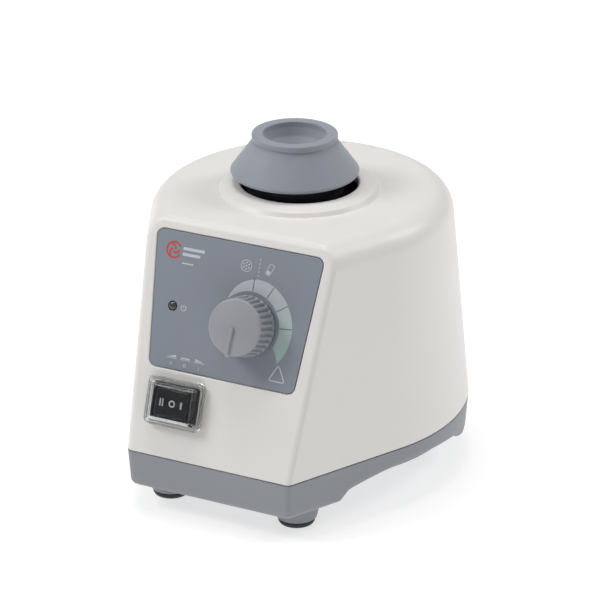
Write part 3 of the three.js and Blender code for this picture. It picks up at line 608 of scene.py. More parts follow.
def moulded(name, colour, roughness, grain, depth, mottle=0.02, blotch=18.0, spot=0.05, **shader_inputs):
    """A moulded surface: a fine grain in relief, a broad faint mottle, and roughness that wanders.

    grain and blotch are sizes in millimetres, depth is the grain's height in millimetres, mottle is
    the share by which the colour varies and spot the range of the roughness.
    """
    made, tree, shader = material(name, {key.replace("_", " "): v for key, v in shader_inputs.items()})
    dark, light = np.outer((1 - mottle, 1 + mottle), colour[:3]).clip(0, 1)
    blotches = add(tree, "ShaderNodeMapRange", {**NOISE_SPAN, "Value": pattern(tree, blotch, 3.0)})
    tint = add(
        tree, "ShaderNodeMix", {0: blotches.outputs[0], 6: (*dark, 1.0), 7: (*light, 1.0)}, data_type="RGBA",
    )
    gloss = add(
        tree, "ShaderNodeMapRange",
        {**NOISE_SPAN, "Value": pattern(tree, blotch / 4, 4.0),
         "To Min": roughness - spot, "To Max": roughness + spot},
    )
    bump = add(tree, "ShaderNodeBump", {"Height": pattern(tree, grain), "Distance": depth * MM})
    tree.links.new(tint.outputs[2], shader.inputs["Base Color"])
    tree.links.new(gloss.outputs[0], shader.inputs["Roughness"])
    tree.links.new(bump.outputs[0], shader.inputs["Normal"])
    return made


def metal(name, colour, roughness, stretch, grain=0.4, depth=0.006, spot=0.08):
    """A bare metal: Metallic 1, and tool marks as a noise stretched along the way it was worked."""
    made, tree, shader = material(name, {"Metallic": 1.0, "Base Color": (*colour[:3], 1.0)})
    marks = pattern(tree, grain, 4.0, stretch)
    gloss = add(
        tree, "ShaderNodeMapRange",
        {**NOISE_SPAN, "Value": marks, "To Min": roughness - spot, "To Max": roughness + spot},
    )
    bump = add(tree, "ShaderNodeBump", {"Height": marks, "Distance": depth * MM})
    tree.links.new(gloss.outputs[0], shader.inputs["Roughness"])
    tree.links.new(bump.outputs[0], shader.inputs["Normal"])
    return made


def striped(name, first, second, pitch, roughness, metallic):
    """Level bands of two colours, pitch millimetres from one to the next, with relief."""
    made, tree, shader = material(name, {"Metallic": metallic, "Roughness": roughness})
    place = add(tree, "ShaderNodeTexCoord")
    wave = add(
        tree, "ShaderNodeTexWave",
        {"Vector": place.outputs["Object"], "Scale": BAND_PITCH / (pitch * MM), "Distortion": 0.4},
        bands_direction="Z",
    )
    tint = add(
        tree, "ShaderNodeMix",
        {0: wave.outputs["Fac"], 6: (*first[:3], 1.0), 7: (*second[:3], 1.0)}, data_type="RGBA",
    )
    bump = add(tree, "ShaderNodeBump", {"Height": wave.outputs["Fac"], "Distance": 0.1 * MM})
    tree.links.new(tint.outputs[2], shader.inputs["Base Color"])
    tree.links.new(bump.outputs[0], shader.inputs["Normal"])
    return made


def cover_abs(colours):
    """White ABS, injection moulded in a fine-spark mould: satin gloss and a soft even sheen."""
    return moulded("cover ABS", colours.cover, 0.36, 0.45, 0.004, mottle=0.008, blotch=30.0, spot=0.04)


def base_abs(colours):
    """Grey ABS with a coarser spark texture: no sharp reflections."""
    return moulded("base ABS", colours.base, 0.5, 0.5, 0.012, mottle=0.02, blotch=20.0)


def knob_abs(colours):
    """Grey ABS, satin, a little glossier on the handled face."""
    return moulded("knob ABS", colours.knob, 0.4, 0.35, 0.006, mottle=0.015, blotch=8.0)


def panel_film(colours):
    """Polycarbonate film, velvet finish, printed on its back: even colour and a fine matt grain."""
    return moulded("velvet polycarbonate film", colours.panel, 0.46, 0.3, 0.005, mottle=0.012, blotch=12.0)


def cup_rubber(colours):
    """Moulded nitrile rubber: matt, with a dusty sheen at grazing angles."""
    return moulded(
        "moulded nitrile rubber", colours.cup, 0.62, 0.4, 0.012, mottle=0.03, blotch=9.0,
        Sheen_Weight=0.25, Sheen_Roughness=0.5,
    )


def black_rubber():
    """Black rubber of the splash ring: dull, with a slight bloom."""
    return moulded("black rubber", linear("#1d1d20"), 0.7, 0.5, 0.015, mottle=0.12, blotch=6.0)


def foot_rubber():
    """Dark blue-grey rubber of the feet: dull, with a little dust."""
    return moulded("foot rubber", linear("#34353f"), 0.66, 0.5, 0.015, mottle=0.12, blotch=6.0)


def black_nylon():
    """Glass-filled nylon, black: semi gloss with faint flow marks."""
    return moulded("black nylon", linear("#18181b"), 0.32, 0.6, 0.006, mottle=0.1, blotch=7.0)


def rocker_nylon():
    """Polished black nylon of the rocker: deep black with a soft, weak reflection."""
    return moulded(
        "polished nylon", linear("#1b1a22"), 0.3, 0.8, 0.002, mottle=0.06, blotch=6.0,
        Specular_IOR_Level=0.25,
    )


def neck_acetal():
    """Machined black acetal: glossy, with fine turning rings."""
    return moulded("turned acetal", linear("#34343b"), 0.2, 0.5, 0.002, mottle=0.08, blotch=6.0)


def clear_pvc():
    """Moulded clear PVC of the splash boot: transparent, glossy, faintly wavy from the mould."""
    made, tree, shader = material(
        "clear soft PVC",
        {"Base Color": (*linear("#f4f6f6"), 1.0), "Transmission Weight": 1.0, "IOR": 1.42, "Roughness": 0.0},
    )
    bump = add(tree, "ShaderNodeBump", {"Height": pattern(tree, 7.0, 0.0), "Distance": 0.03 * MM})
    tree.links.new(bump.outputs[0], shader.inputs["Normal"])
    return made


def ink(name, code, roughness=0.5):
    """Screen-printed ink: opaque and matt, with a fine grain."""
    return moulded(name, linear(code), roughness, 0.25, 0.004, mottle=0.03, blotch=1.2)


SHADE_START, SHADE_END = 14.0, -6.0     # heights over the knob's middle between which the scale shades


def scale_ink(colours):
    """Ink of the speed scale: matt, shading down the scale from pale grey to pale green."""
    made, tree, shader = material("printed speed scale", {"Roughness": 0.5})
    place = add(tree, "ShaderNodeTexCoord")
    middle = (FACE_FOOT + np.array([*KNOB_PLACE, 0.0]) @ FACE_AXES)[2]
    split = add(tree, "ShaderNodeSeparateXYZ", {"Vector": place.outputs["Object"]})
    start, end = (middle + SHADE_START) * MM, (middle + SHADE_END) * MM
    share = add(tree, "ShaderNodeMapRange", {"Value": split.outputs[2], "From Min": start, "From Max": end})
    tint = add(
        tree, "ShaderNodeMix",
        {0: share.outputs[0], 6: (*colours.scale_start, 1.0), 7: (*colours.scale_end, 1.0)},
        data_type="RGBA",
    )
    bump = add(tree, "ShaderNodeBump", {"Height": pattern(tree, 0.3), "Distance": 0.004 * MM})
    tree.links.new(tint.outputs[2], shader.inputs["Base Color"])
    tree.links.new(bump.outputs[0], shader.inputs["Normal"])
    return made


def lamp_epoxy():
    """Smoky epoxy lens of the unlit lamp: dark grey and glossy."""
    return moulded(
        "smoky epoxy", linear("#3a3d3e"), 0.18, 1.0, 0.002, mottle=0.15, blotch=1.5,
        Coat_Weight=0.6, Coat_Roughness=0.08,
    )


def zinc_steel():
    """Zinc plated steel: bright grey with faint drawing marks."""
    return metal("zinc plated steel", linear("#b9bbbf"), 0.34, (1.0, 1.0, 0.15))


def spring_wire():
    """Drawn spring wire: smooth, with marks round the coil."""
    return metal("drawn spring wire", linear("#a8a9ac"), 0.28, (0.3, 0.3, 1.0), grain=0.2)


def core_laminate():
    """Stacked motor laminations, drawn 0.8 mm thick so that they show."""
    return striped("stacked laminations", linear("#6f7073"), linear("#4c4d50"), 0.8, 0.45, 1.0)


def winding_enamel():
    """Enamelled copper wire laid in rings, drawn 0.9 mm thick so that it shows."""
    return striped("enamelled copper", linear("#b9683a"), linear("#7d3c1c"), 0.9, 0.35, 0.6)


def cast_aluminium():
    """Die-cast aluminium: light grey, dull, with a cast skin."""
    return metal("die-cast aluminium", linear("#c3c5c8"), 0.48, (1.0, 1.0, 1.0), grain=0.9, depth=0.03)


def cast_iron():
    """Cast and painted ballast: dark, rough sand-cast skin."""
    return moulded("sand-cast iron", linear("#4a4b4e"), 0.7, 1.1, 0.08, mottle=0.15, blotch=8.0, Metallic=0.5)


def board_laminate():
    """Glass-epoxy board under green solder mask, with the weave showing through."""
    return moulded(
        "solder mask", linear("#1d5a38"), 0.35, 0.6, 0.012, mottle=0.12, blotch=3.0, Coat_Weight=0.3,
    )


def sleeve_film():
    """Shrunk plastic sleeve of the capacitor: dark blue and glossy, with faint wrinkles."""
    return moulded("shrunk sleeve", linear("#2a2f45"), 0.3, 1.4, 0.01, mottle=0.05, blotch=4.0)


def plunger_acetal():
    """Red acetal of the touch plunger: smooth, with a waxy gloss."""
    return moulded("red acetal", linear("#b03a2e"), 0.35, 0.5, 0.004, mottle=0.04, blotch=3.0)


def opal_table():
    """White opal sheet lit a little from below: matt, even and without a visible edge."""
    return moulded(
        "opal light table", linear("#bcbcbc"), 0.9, 1.5, 0.01, mottle=0.004, blotch=60.0,
        Emission_Color=(1.0, 1.0, 1.0, 1.0), Emission_Strength=0.64,
    )


# ---------------------------------------------------------------- pieces of the casing
EDGE = 0.35            # rounding of moulded edges at the seam
LIP = [
    (OPENING, COLLAR_TOP - WALL), (OPENING, COLLAR_TOP), (OPENING + 3, COLLAR_TOP - 0.25),
    (COLLAR_FOOT - 1.1, COVER_TOP + 1.6), (COLLAR_FOOT + 0.1, COVER_TOP), (COLLAR_FOOT + 2.5, COVER_TOP),
]
LIP_RADII = (0.9, 4.0, 0.9, 0.6)
UNDER_LIP = [(COLLAR_FOOT - WALL, COVER_TOP - WALL), (OPENING + WALL, COLLAR_TOP - WALL)]


def edge_rows(height, low, steps=4):
    """Rows of a quarter-circle rounding at the cover's lower edge, from its wall to its underside."""
    turn = np.linspace(0, np.pi / 2, steps + 1)[1:]
    inset = EDGE * (1 - np.cos(turn))
    level = low + EDGE * (1 - np.sin(turn))
    return outline(SIDE_LEAN * (height - SEAM) + inset, FRONT_LEAN * (height - SEAM) + inset, level)


def cover_skin():
    """The cover as one closed shell round the opening.

    Rows run up the lip of the opening, down its collar, across the top, round the fillet, down the
    wall, under the edge and back up the inside; the last row joins the first.
    """
    low = SEAM + GAP / 2
    outer, inner = cover_rows(0.0, low + EDGE), cover_rows(WALL, low)
    angle = np.arctan2(outer[0, :, 1] - DRIVE_Y, outer[0, :, 0])
    lip = circle_rows(rounded(LIP, LIP_RADII), angle)
    under = circle_rows(UNDER_LIP, angle)
    top = plateau(lip[-1], outer[0], 5)
    ceiling = plateau(inner[0], under[0], 2)
    return skin(np.vstack([lip, top, outer, edge_rows(low, low), inner[::-1], ceiling, under]), closed=True)


PANEL_RECESS = 1.2
PANEL_THICK = 0.8
PANEL_EDGE = 0.2
PANEL_ABOVE_SWITCH = 11.7
PANEL_UNDER_TOP = 4.2
PANEL_BOTTOM = SWITCH_PLACE[1] + PANEL_ABOVE_SWITCH
PANEL_TOP = (COVER_TOP - PANEL_UNDER_TOP - SEAM) * np.hypot(1, FRONT_LEAN)
PANEL_HALF = (29.8, 34.3)     # half its width at the bottom and at the top
PANEL_CORNER = 3.0


def panel_outline(grow):
    """The panel's outline, wider at the top, with round corners; grow moves it outwards."""
    bottom, top = PANEL_HALF[0] + grow, PANEL_HALF[1] + grow
    low, high = PANEL_BOTTOM - grow, PANEL_TOP + grow
    corners = [(0, low), (bottom, low), (top, high), (-top, high), (-bottom, low), (0, low)]
    return rounded(corners, [PANEL_CORNER + grow] * 4, steps=8)[:-1]


def trumpet(shape, floor, flare, top=3.0):
    """A cutter with straight walls from floor that flare into a rounded edge at the surface.

    At angle a the wall stands flare (1 - cos a) outwards and flare (1 - sin a) below the surface.
    """
    turn = np.radians(np.linspace(0, 78, 6))
    grow = np.concatenate([[0.0], flare * (1 - np.cos(turn))])
    level = np.concatenate([[floor], -flare * (1 - np.sin(turn))])
    return stacked([shape(g) for g in [*grow, grow[-1]]], [*level, top])


def cylinder(radius, low, high, place=(0.0, 0.0), steps=48):
    """A plain cutter or post between two heights."""
    return turned([(0, low), (radius, low), (radius, high), (0, high)], place, steps)


def seat_outline(grow):
    """The outline of the inlet's seat in the cover, with a clearance all round."""
    return rectangle(INLET_SIZE[0] + 1 + 2 * grow, INLET_SIZE[1] + 1 + 2 * grow, 1.5 + grow)


SCREWS = range(1, 5)
FEET = range(1, 5)
SCREW_HOLE = 1.9
SCREW_TOP = 38.0
POST_TOP = 44.0
POST_RADIUS = 5.8
POST_NECK = 4.6          # radius of a post where it passes through the ballast plate
KNOB_BUSH = 4.0
LAMP_RADIUS = 1.6
BARREL = (18.2, 13.0)
THROUGH_COVER = (-12, 4)
THROUGH_PANEL = (-4, 4)


def cover(edge):
    """The cover: its shell, the posts for the screws, and every opening through its wall."""
    piece = make("cover_shell", cover_skin())
    floor, seat = FLOOR_HIGH + GAP, box("ballast_plate")[1][2] + GAP
    post = [
        (0, floor), (POST_NECK, floor), (POST_NECK, seat), (POST_RADIUS, seat + 1),
        (POST_RADIUS, POST_TOP), (0, POST_TOP),
    ]
    for index in SCREWS:
        place = plan_middle(f"case_screw_{index}")
        combine(piece, "UNION", turned(post, place, 32))
        combine(piece, "DIFFERENCE", cylinder(SCREW_HOLE, floor - 1, SCREW_TOP, place, 24))
    combine(piece, "UNION", on_back(slab(INLET_SIZE[0] + 4, INLET_SIZE[1] + 6, 2, -WALL, -0.3)))
    combine(
        piece, "DIFFERENCE",
        on_face(trumpet(panel_outline, -PANEL_RECESS, edge)),
        on_face(cylinder(KNOB_BUSH, *THROUGH_COVER), KNOB_PLACE),
        on_face(cylinder(LAMP_RADIUS + GAP, *THROUGH_COVER), LAMP_PLACE),
        on_face(slab(BARREL[0] + 2 * GAP, BARREL[1] + 2 * GAP, 1, *THROUGH_COVER), SWITCH_PLACE),
        on_back(trumpet(seat_outline, 0, edge, 12)),
        on_back(slab(INLET_SIZE[0] - 3, INLET_SIZE[1] - 3, 1, -12, 1)),
    )
    return piece


INNER_EDGE = 0.4         # bevel of the base's lower edge on its inside


def base_skin():
    """The base tray: underside, outer wall with its arched lower edge, and inside.

    A column's point is outline + inward step * (inset + taper * depth below the seam). Its lower edge
    rises in a steep step at each end of the arch and by (height - step) * (1 - t^2) between them.
    """
    rim = outline(0, 0, 0)[0]
    inward = outline(1, 1, 0)[0] - rim
    y = rim[:, 1] - DRIVE_Y
    middle_y, reach = (ARCH[0] + ARCH[1]) / 2, (ARCH[1] - ARCH[0]) / 2 - ARCH_STEP
    off = np.abs(y - middle_y)
    bow = ARCH_STEP + (ARCH_HEIGHT - ARCH_STEP) * (1 - np.clip(off / reach, 0, 1) ** 2)
    foot = BASE_BOTTOM + bow * np.clip((reach + ARCH_STEP - off) / ARCH_STEP, 0, 1)
    top = SEAM - GAP / 2

    def row(inset, height):
        level = height + 0 * y
        moved_by = inset + BASE_TAPER * (SEAM - np.clip(level, BASE_BOTTOM, SEAM))
        return np.column_stack([(rim + inward * moved_by[:, None])[:, :2], level])

    turn = np.linspace(0, np.pi / 2, 7)
    edge = np.linspace(0, np.pi / 2, 5)
    wall_foot, wall_head = foot + BASE_FILLET, top - EDGE
    rows = [row(WALL, FLOOR_LOW), row(WALL, foot + INNER_EDGE), row(WALL - INNER_EDGE, foot)]
    rows += [row(BASE_FILLET * (1 - np.sin(a)), foot + BASE_FILLET * (1 - np.cos(a))) for a in turn]
    rows += [row(0, wall_foot + (wall_head - wall_foot) * share) for share in np.linspace(0, 1, 7)[1:]]
    rows += [row(EDGE * (1 - np.cos(a)), top - EDGE * (1 - np.sin(a))) for a in edge[1:]]
    rows += [row(WALL, top), row(WALL, FLOOR_HIGH)]
    rows = np.stack(rows)
    middle = np.array([0.0, DRIVE_Y + BACK_CENTRE])
    return skin(rows, start=(*middle, FLOOR_LOW), end=(*middle, FLOOR_HIGH))


BOSS_RADIUS = 9.2
BOSS_FOOT_RADIUS = 7.6
BOSS_BOTTOM = 2.4
STEM = 3.0


def base():
    """The tray with its four tapered bosses, and the holes for foot stems and screws."""
    piece = make("base_shell", base_skin())
    root = FLOOR_LOW + 1
    boss = [
        (0, BOSS_BOTTOM), (BOSS_FOOT_RADIUS, BOSS_BOTTOM), (BOSS_RADIUS, BASE_BOTTOM + 0.5),
        (BOSS_RADIUS, root), (0, root),
    ]
    for index in FEET:
        place = plan_middle(f"foot_{index}")
        combine(piece, "UNION", turned(rounded(boss, (0.7, 0.5, 0)), place, 64))
        combine(piece, "DIFFERENCE", cylinder(STEM + GAP, BOSS_BOTTOM - 1, FLOOR_LOW - 2, place))
    for index in SCREWS:
        place = plan_middle(f"case_screw_{index}")
        combine(piece, "DIFFERENCE", cylinder(SCREW_HOLE, FLOOR_LOW - 1, FLOOR_HIGH + 1, place, 24))
    return piece


def foot(index):
    """A rubber foot: a rounded pad with its stem."""
    low, high = box(f"foot_{index}")
    radius = (high[0] - low[0]) / 2
    top = BOSS_BOTTOM - GAP
    profile = [
        (0, low[2]), (radius - 0.6, low[2]), (radius, low[2] + 1), (radius, top), (STEM, top),
        (STEM, high[2]), (0, high[2]),
    ]
    pad = turned(rounded(profile, (0.6, 0.8, 0.5, 0, 0.4)), plan_middle(f"foot_{index}"), 64)
    return make(f"rubber_foot_{index}", pad)


# ---------------------------------------------------------------- pieces of the front face
PRINT_THICK = 0.07      # ink, drawn thick enough to show
PRINT_SUNK = 0.02
PRINT_LOW = -PANEL_RECESS + GAP + PANEL_THICK - PRINT_SUNK
PRINT_HIGH = PRINT_LOW + PRINT_THICK


def panel():
    """The panel: a thin plate in the recess, its upper edge rounded, with holes for shaft and lamp."""
    turn = np.linspace(0, np.pi / 2, 4)
    low = -PANEL_RECESS + GAP
    shapes = [panel_outline(-GAP)] + [panel_outline(-GAP - PANEL_EDGE * (1 - np.cos(a))) for a in turn]
    levels = [low] + [low + PANEL_THICK - PANEL_EDGE + PANEL_EDGE * np.sin(a) for a in turn]
    piece = make("control_panel", on_face(stacked(shapes, levels)))
    holes = (
        on_face(cylinder(KNOB_BUSH + 0.4, *THROUGH_PANEL), KNOB_PLACE),
        on_face(cylinder(LAMP_RADIUS + GAP, *THROUGH_PANEL), LAMP_PLACE),
    )
    return combine(piece, "DIFFERENCE", *holes)


def line(path, width=0.3, closed=False):
    """A printed line."""
    return ribbon(path, width, PRINT_LOW, PRINT_HIGH, closed)


def patch(shape):
    """A printed patch with a closed outline."""
    return stacked([shape, shape], [PRINT_LOW, PRINT_HIGH])


def circle(middle, radius, steps=40):
    """A closed circle of points."""
    return arc(middle, radius, 0, 360, steps + 1)[:-1]


# places on the panel, x and s
EMBLEM_PLACE = (-26.2, 76.5)
FAN_PLACE = (3.8, 75.8)
TUBE_PLACE = (13.4, 75.9)
DASHES_TOP = (9.1, PANEL_TOP - 3.9)
POWER_OFFSET = (4.6, -0.1)
ROCKERS = ((-20.9, 1, 2), (-15.2, 0, 0), (-9.4, -1, 1))     # x, tilt and kind of mark
ROCKERS_UP, MARKS_UP = 37.2, 35.2
TITLE_BARS = (                                              # x from and to, s, width
    (-22.4, -13.6, 77.6, 1.1),
    (-22.4, -15.2, 75.5, 1.1),
    (-22.2, -17.6, 72.2, 0.5),
)
TRIANGLE = [(22.2, 36.5), (25.5, 36.5), (22.3, 42.7), (19.1, 36.5), (22.2, 36.5)]


def swirl_emblem():
    """A plain whirl of three arms in a broken ring: each arm is r = radius * t at angle + 150 t."""
    middle, radius, width = np.array(EMBLEM_PLACE), 2.9, 0.62
    share = np.linspace(0.18, 0.82, 20)
    arms = []
    for start in (0, 120, 240):
        angle = np.radians(start + 150 * share)
        way = np.column_stack([np.cos(angle), np.sin(angle)])
        arms.append(line(middle + radius * share[:, None] * way, width))
    return [line(arc(middle, radius, 30, 330, 40), width), *arms]


def fan_icon():
    """A ring with a dot in the middle and six round it, for the range with steady shaking."""
    middle, radius = np.array(FAN_PLACE), 2.1
    ring = line(circle(middle, radius), 0.26, True)
    dots = [middle, *arc(middle, 0.56 * radius, 30, 330, 6)]
    return [ring, *[patch(circle(dot, 0.15 * radius, 12)) for dot in dots]]


def tube_icon():
    """A tilted tube with a filled lower end."""
    middle, turn = np.array(TUBE_PLACE), np.radians(-25.0)
    axes = np.array([[np.cos(turn), np.sin(turn)], [-np.sin(turn), np.cos(turn)]])
    body = rectangle(1.9, 4.2, 0.5, 4) @ axes + middle
    fill = rectangle(1.3, 1.3, 0.3, 4, (0.0, -1.2)) @ axes + middle
    return [line(body, 0.24, True), patch(fill)]


def dashes():
    """A dashed line up the slope, six dashes that each fill a little over half of their pitch."""
    x, high = DASHES_TOP
    count, length, share = 6, 8.8, 0.55
    pitch = length / count
    feet = high - length + pitch * np.arange(count)
    return [line([(x, low), (x, low + share * pitch)], 0.26) for low in feet]


def power_icon():
    """The open ring and bar that mark power, beside the lamp."""
    middle, radius = LAMP_PLACE + POWER_OFFSET, 1.0
    return [line(arc(middle, radius, 125, 415, 30)), line([middle, middle + (0, 1.25 * radius)])]


def rocker_icon(middle, tilt):
    """A rocker seen from its edge, tilted one way, level or the other way, on its base line."""
    x, s = middle
    top = np.array([(-1.8, 0.35), (1.8, 0.35), (1.8, 0.85 + 0.5 * tilt), (-1.8, 0.85 - 0.5 * tilt)])
    return [patch(top + middle), line([(x - 2.1, s), (x + 2.1, s)], 0.22)]


def position_marks(middle, kind):
    """II, O or I in plain bars and a ring, for kinds 2, 0 and 1."""
    x, s = middle
    half = 0.55
    if kind == 0:
        return [line(circle(middle, half, 24), 0.22, True)]
    places = (x,) if kind == 1 else (x - 0.32, x + 0.32)
    return [line([(place, s - half), (place, s + half)], 0.24) for place in places]


SCALE_OUTER = 17.8
SCALE_INNER = 12.6
SCALE_START, SCALE_NARROWS, SCALE_END = 140.0, -28.0, -40.0     # degrees
SCALE_WIDENING = 75.0
TICK_START, TICK_PITCH, TICKS = 6.0, 28.0, 4


def speed_scale():
    """The crescent of the speed scale round the knob.

    Over the first 75 degrees its outer radius grows as the sine of the angle's share, from the inner
    circle's to the outer's; past the last wide point the inner radius grows in step with the angle
    until the crescent ends in a point.
    """
    angle = np.linspace(SCALE_START, SCALE_END, 90)
    rise = np.clip((SCALE_START - angle) / SCALE_WIDENING, 0, 1)
    fall = np.clip((angle - SCALE_END) / (SCALE_NARROWS - SCALE_END), 0, 1)
    width = SCALE_OUTER - SCALE_INNER
    outer = SCALE_INNER + width * np.sin(rise * np.pi / 2)
    inner = SCALE_INNER + width * (1 - fall)
    turn = np.radians(angle)[:, None]
    way = np.hstack([np.cos(turn), np.sin(turn)])
    near = way * inner[:, None] + KNOB_PLACE
    far = way * np.maximum(outer, inner + 0.05)[:, None] + KNOB_PLACE
    section = [(near, PRINT_LOW), (far, PRINT_LOW), (far, PRINT_HIGH), (near, PRINT_HIGH)]
    rows = np.stack([np.column_stack([side, np.full(len(angle), z)]) for side, z in section], axis=1)
    return skin(rows, start=rows[0].mean(0), end=rows[-1].mean(0))


def scale_ticks():
    """Dark radial lines across the scale, at even angles."""
    made = []
    for angle in np.radians(TICK_START + TICK_PITCH * np.arange(TICKS)):
        way = np.array([np.cos(angle), np.sin(angle)])
        ends = [KNOB_PLACE + way * (SCALE_INNER + 0.2), KNOB_PLACE + way * (SCALE_OUTER - 0.1)]
        made.append(ribbon(ends, 0.28, PRINT_LOW, PRINT_HIGH + 0.03))
    return made


def pale_prints():
    """Every pale mark on the panel."""
    marks = [line([(left, s), (right, s)], width) for left, right, s, width in TITLE_BARS]
    marks += fan_icon() + tube_icon() + dashes() + power_icon()
    for x, tilt, kind in ROCKERS:
        marks += rocker_icon((x, ROCKERS_UP), tilt)
        marks += position_marks((x, MARKS_UP), kind)
    triangle = rounded(TRIANGLE, (0.5, 0.5, 0.5), 4)[:-1]
    return [*marks, line(triangle, 0.4, True)]


KNOB_HEIGHT = 11.2
KNOB_FOOT = 0.6
KNOB_RADIUS = 11.3
KNOB_FACE_RADIUS = 10.5
KNOB_BORE = 3.3
KNOB_ROOF = KNOB_HEIGHT - 3
KNOB_RIM = 1.0
KNOB_DOME = 0.9
KNOB_CHAMFER = 0.5
FLUTE_HALF = 0.34               # half a flute's width, as a share of the pitch
FLUTE_TOP = 0.9                 # how far under the top of the wall the flutes have faded out
FLUTE_RUN_IN = 0.7
FLUTE_RUN_OUT = 1.1
GRIP_DEPTH = 1.2                # how far in from the widest radius a flute may reach
POINTER_HEIGHT = 0.85
POINTER_ANGLE = -97.0           # degrees, at the slow end of the scale
POINTER_START = 0.8             # from the middle of the face
POINTER_DROP = 2.6              # how far the pointer runs down the wall
POINTER_RUN_OUT = 1.4


def knob_profile():
    """The knob's section [radius, height] from the roof of its bore, under its foot and up to its top.

    The wall is straight, the rim a quarter circle, and the face rises by dome * (1 - (r / rim)^2).
    """
    under = [(KNOB_BORE, KNOB_ROOF), (KNOB_BORE, KNOB_FOOT), (KNOB_RADIUS - KNOB_CHAMFER, KNOB_FOOT)]
    share = np.linspace(0, 1, 20)
    shoulder = KNOB_HEIGHT - KNOB_RIM
    wall = np.column_stack([
        KNOB_RADIUS + (KNOB_FACE_RADIUS - KNOB_RADIUS) * share,
        KNOB_FOOT + KNOB_CHAMFER + (shoulder - KNOB_FOOT - KNOB_CHAMFER) * share,
    ])
    turn = np.radians(np.linspace(0, 80, 8))[1:]
    flat = KNOB_FACE_RADIUS - KNOB_RIM
    rim = np.column_stack([flat + KNOB_RIM * np.cos(turn), shoulder + KNOB_RIM * np.sin(turn)])
    radius = flat * np.linspace(1, 0, 26)[:-1]
    face = np.column_stack([radius, KNOB_HEIGHT + KNOB_DOME * (1 - (radius / flat) ** 2)])
    return np.vstack([under, wall, rim, face])


def knob(flutes, flute_depth, pointer_width):
    """The fluted knob with its raised pointer, which runs towards the foot of the panel.

    Every point of the turned profile moves along the profile's normal: inwards by the flutes,
    depth * (1 - (phase / width)^2), which fade out below the rim, and outwards by the pointer,
    height * (1 - (d / width)^4)^(1/4) for the distance d to the pointer's line.
    """
    profile = knob_profile()
    step = np.gradient(profile, axis=0)
    normal = np.column_stack([step[:, 1], -step[:, 0]])
    normal /= np.linalg.norm(normal, axis=1, keepdims=True)
    angle = np.linspace(0, 2 * np.pi, flutes * 12, endpoint=False)
    phase = np.abs((angle * flutes / (2 * np.pi)) % 1 - 0.5)
    groove = np.clip(1 - (phase / FLUTE_HALF) ** 2, 0, 1)
    radius, height = profile[:, :1], profile[:, 1:]
    run_in = np.clip((height - KNOB_FOOT - KNOB_CHAMFER) / FLUTE_RUN_IN, 0, 1)
    run_out = np.clip((KNOB_HEIGHT - FLUTE_TOP - height) / FLUTE_RUN_OUT, 0, 1)
    grip = (radius > KNOB_RADIUS - GRIP_DEPTH) * run_in * run_out
    turn = angle - np.radians(POINTER_ANGLE)
    aside, outwards = radius * np.sin(turn), radius * np.cos(turn)
    away = np.hypot(aside, np.clip(POINTER_START - outwards, 0, None)) / (pointer_width / 2)
    reach = np.clip((height - KNOB_HEIGHT + POINTER_DROP) / POINTER_RUN_OUT, 0, 1)
    ridge = np.clip(1 - away**4, 0, 1) ** 0.25 * reach
    offset = POINTER_HEIGHT * ridge - flute_depth * groove * grip * (1 - ridge)
    r = radius + normal[:, :1] * offset
    z = height + normal[:, 1:] * offset
    rows = np.stack([r * np.cos(angle), r * np.sin(angle), z], axis=-1)
    solid = skin(rows, start=(0, 0, KNOB_ROOF), end=(0, 0, KNOB_HEIGHT + KNOB_DOME))
    return make("fluted_knob", on_face(solid, KNOB_PLACE))


def lamp():
    """The lamp's lens: a dome that stands just above the panel."""
    profile = [(0, -9), (LAMP_RADIUS, -9), (LAMP_RADIUS, 0.0), (0, 0.5)]
    return make("lamp_lens", on_face(turned(rounded(profile, (0.3, 0.7), 8), steps=40), LAMP_PLACE))


# ---------------------------------------------------------------- the power switch
BOOT = (22.6, 18.0)
BEZEL = (19.2, 14.0)
POCKET = (16.8, 11.6)
BEZEL_RISE = 1.8
POCKET_FLOOR = -6.5
BARREL_END = -16.0
TAG_END = -23.0
SHARPEST = 0.2


def ring_rows(size, corner, profile):
    """Rows of a rounded rectangle; each profile entry moves it in by the first number, at a height."""
    rows = []
    for inset, height in profile:
        ring = rectangle(size[0] - 2 * inset, size[1] - 2 * inset, max(corner - inset, SHARPEST))
        rows.append(np.column_stack([ring, np.full(len(ring), height)]))
    return np.stack(rows)


def boot():
    """The clear boot: a flange and a raised hollow cap with rounded edges.

    The profile [inset, height] runs down its inside from the middle of the roof, under its foot and
    up its outside, and a rounded rectangle follows it.
    """
    outside = rounded([(0, GAP), (0, 3.0), (2.0, 3.15), (2.3, 6.25), (5.0, 6.4)], (0.5, 0.4, 0.8), 5)
    inside = rounded([(5.0, 5.7), (3.0, 5.6), (2.75, 2.7), (0.8, 2.45), (0.8, GAP)], (0.6, 0.4, 0.3), 5)
    rows = ring_rows(BOOT, 2.2, np.vstack([inside, outside]))
    solid = skin(rows, start=(0, 0, 5.72), end=(0, 0, 6.42))
    return make("clear_boot", on_face(solid, SWITCH_PLACE))


def bezel():
    """The switch body: a frame round its pocket, the barrel behind it, and three tags."""
    inset = (BEZEL[0] - POCKET[0]) / 2
    back = (BEZEL[0] - BARREL[0]) / 2
    profile = [
        (inset, POCKET_FLOOR), (inset, BEZEL_RISE), (0, BEZEL_RISE), (0, GAP), (back, GAP),
        (back, BARREL_END),
    ]
    rows = ring_rows(BEZEL, 1.8, rounded(profile, (0.4, 0.5, 0, 0), 5))
    body = skin(rows, start=(0, 0, POCKET_FLOOR), end=(0, 0, BARREL_END))
    tags = [slab(0.8, 6.2, 0.2, TAG_END, BARREL_END, middle=(x, 0)) for x in (-5.5, 0, 5.5)]
    return make("switch_frame", *[on_face(solid, SWITCH_PLACE) for solid in (body, *tags)])


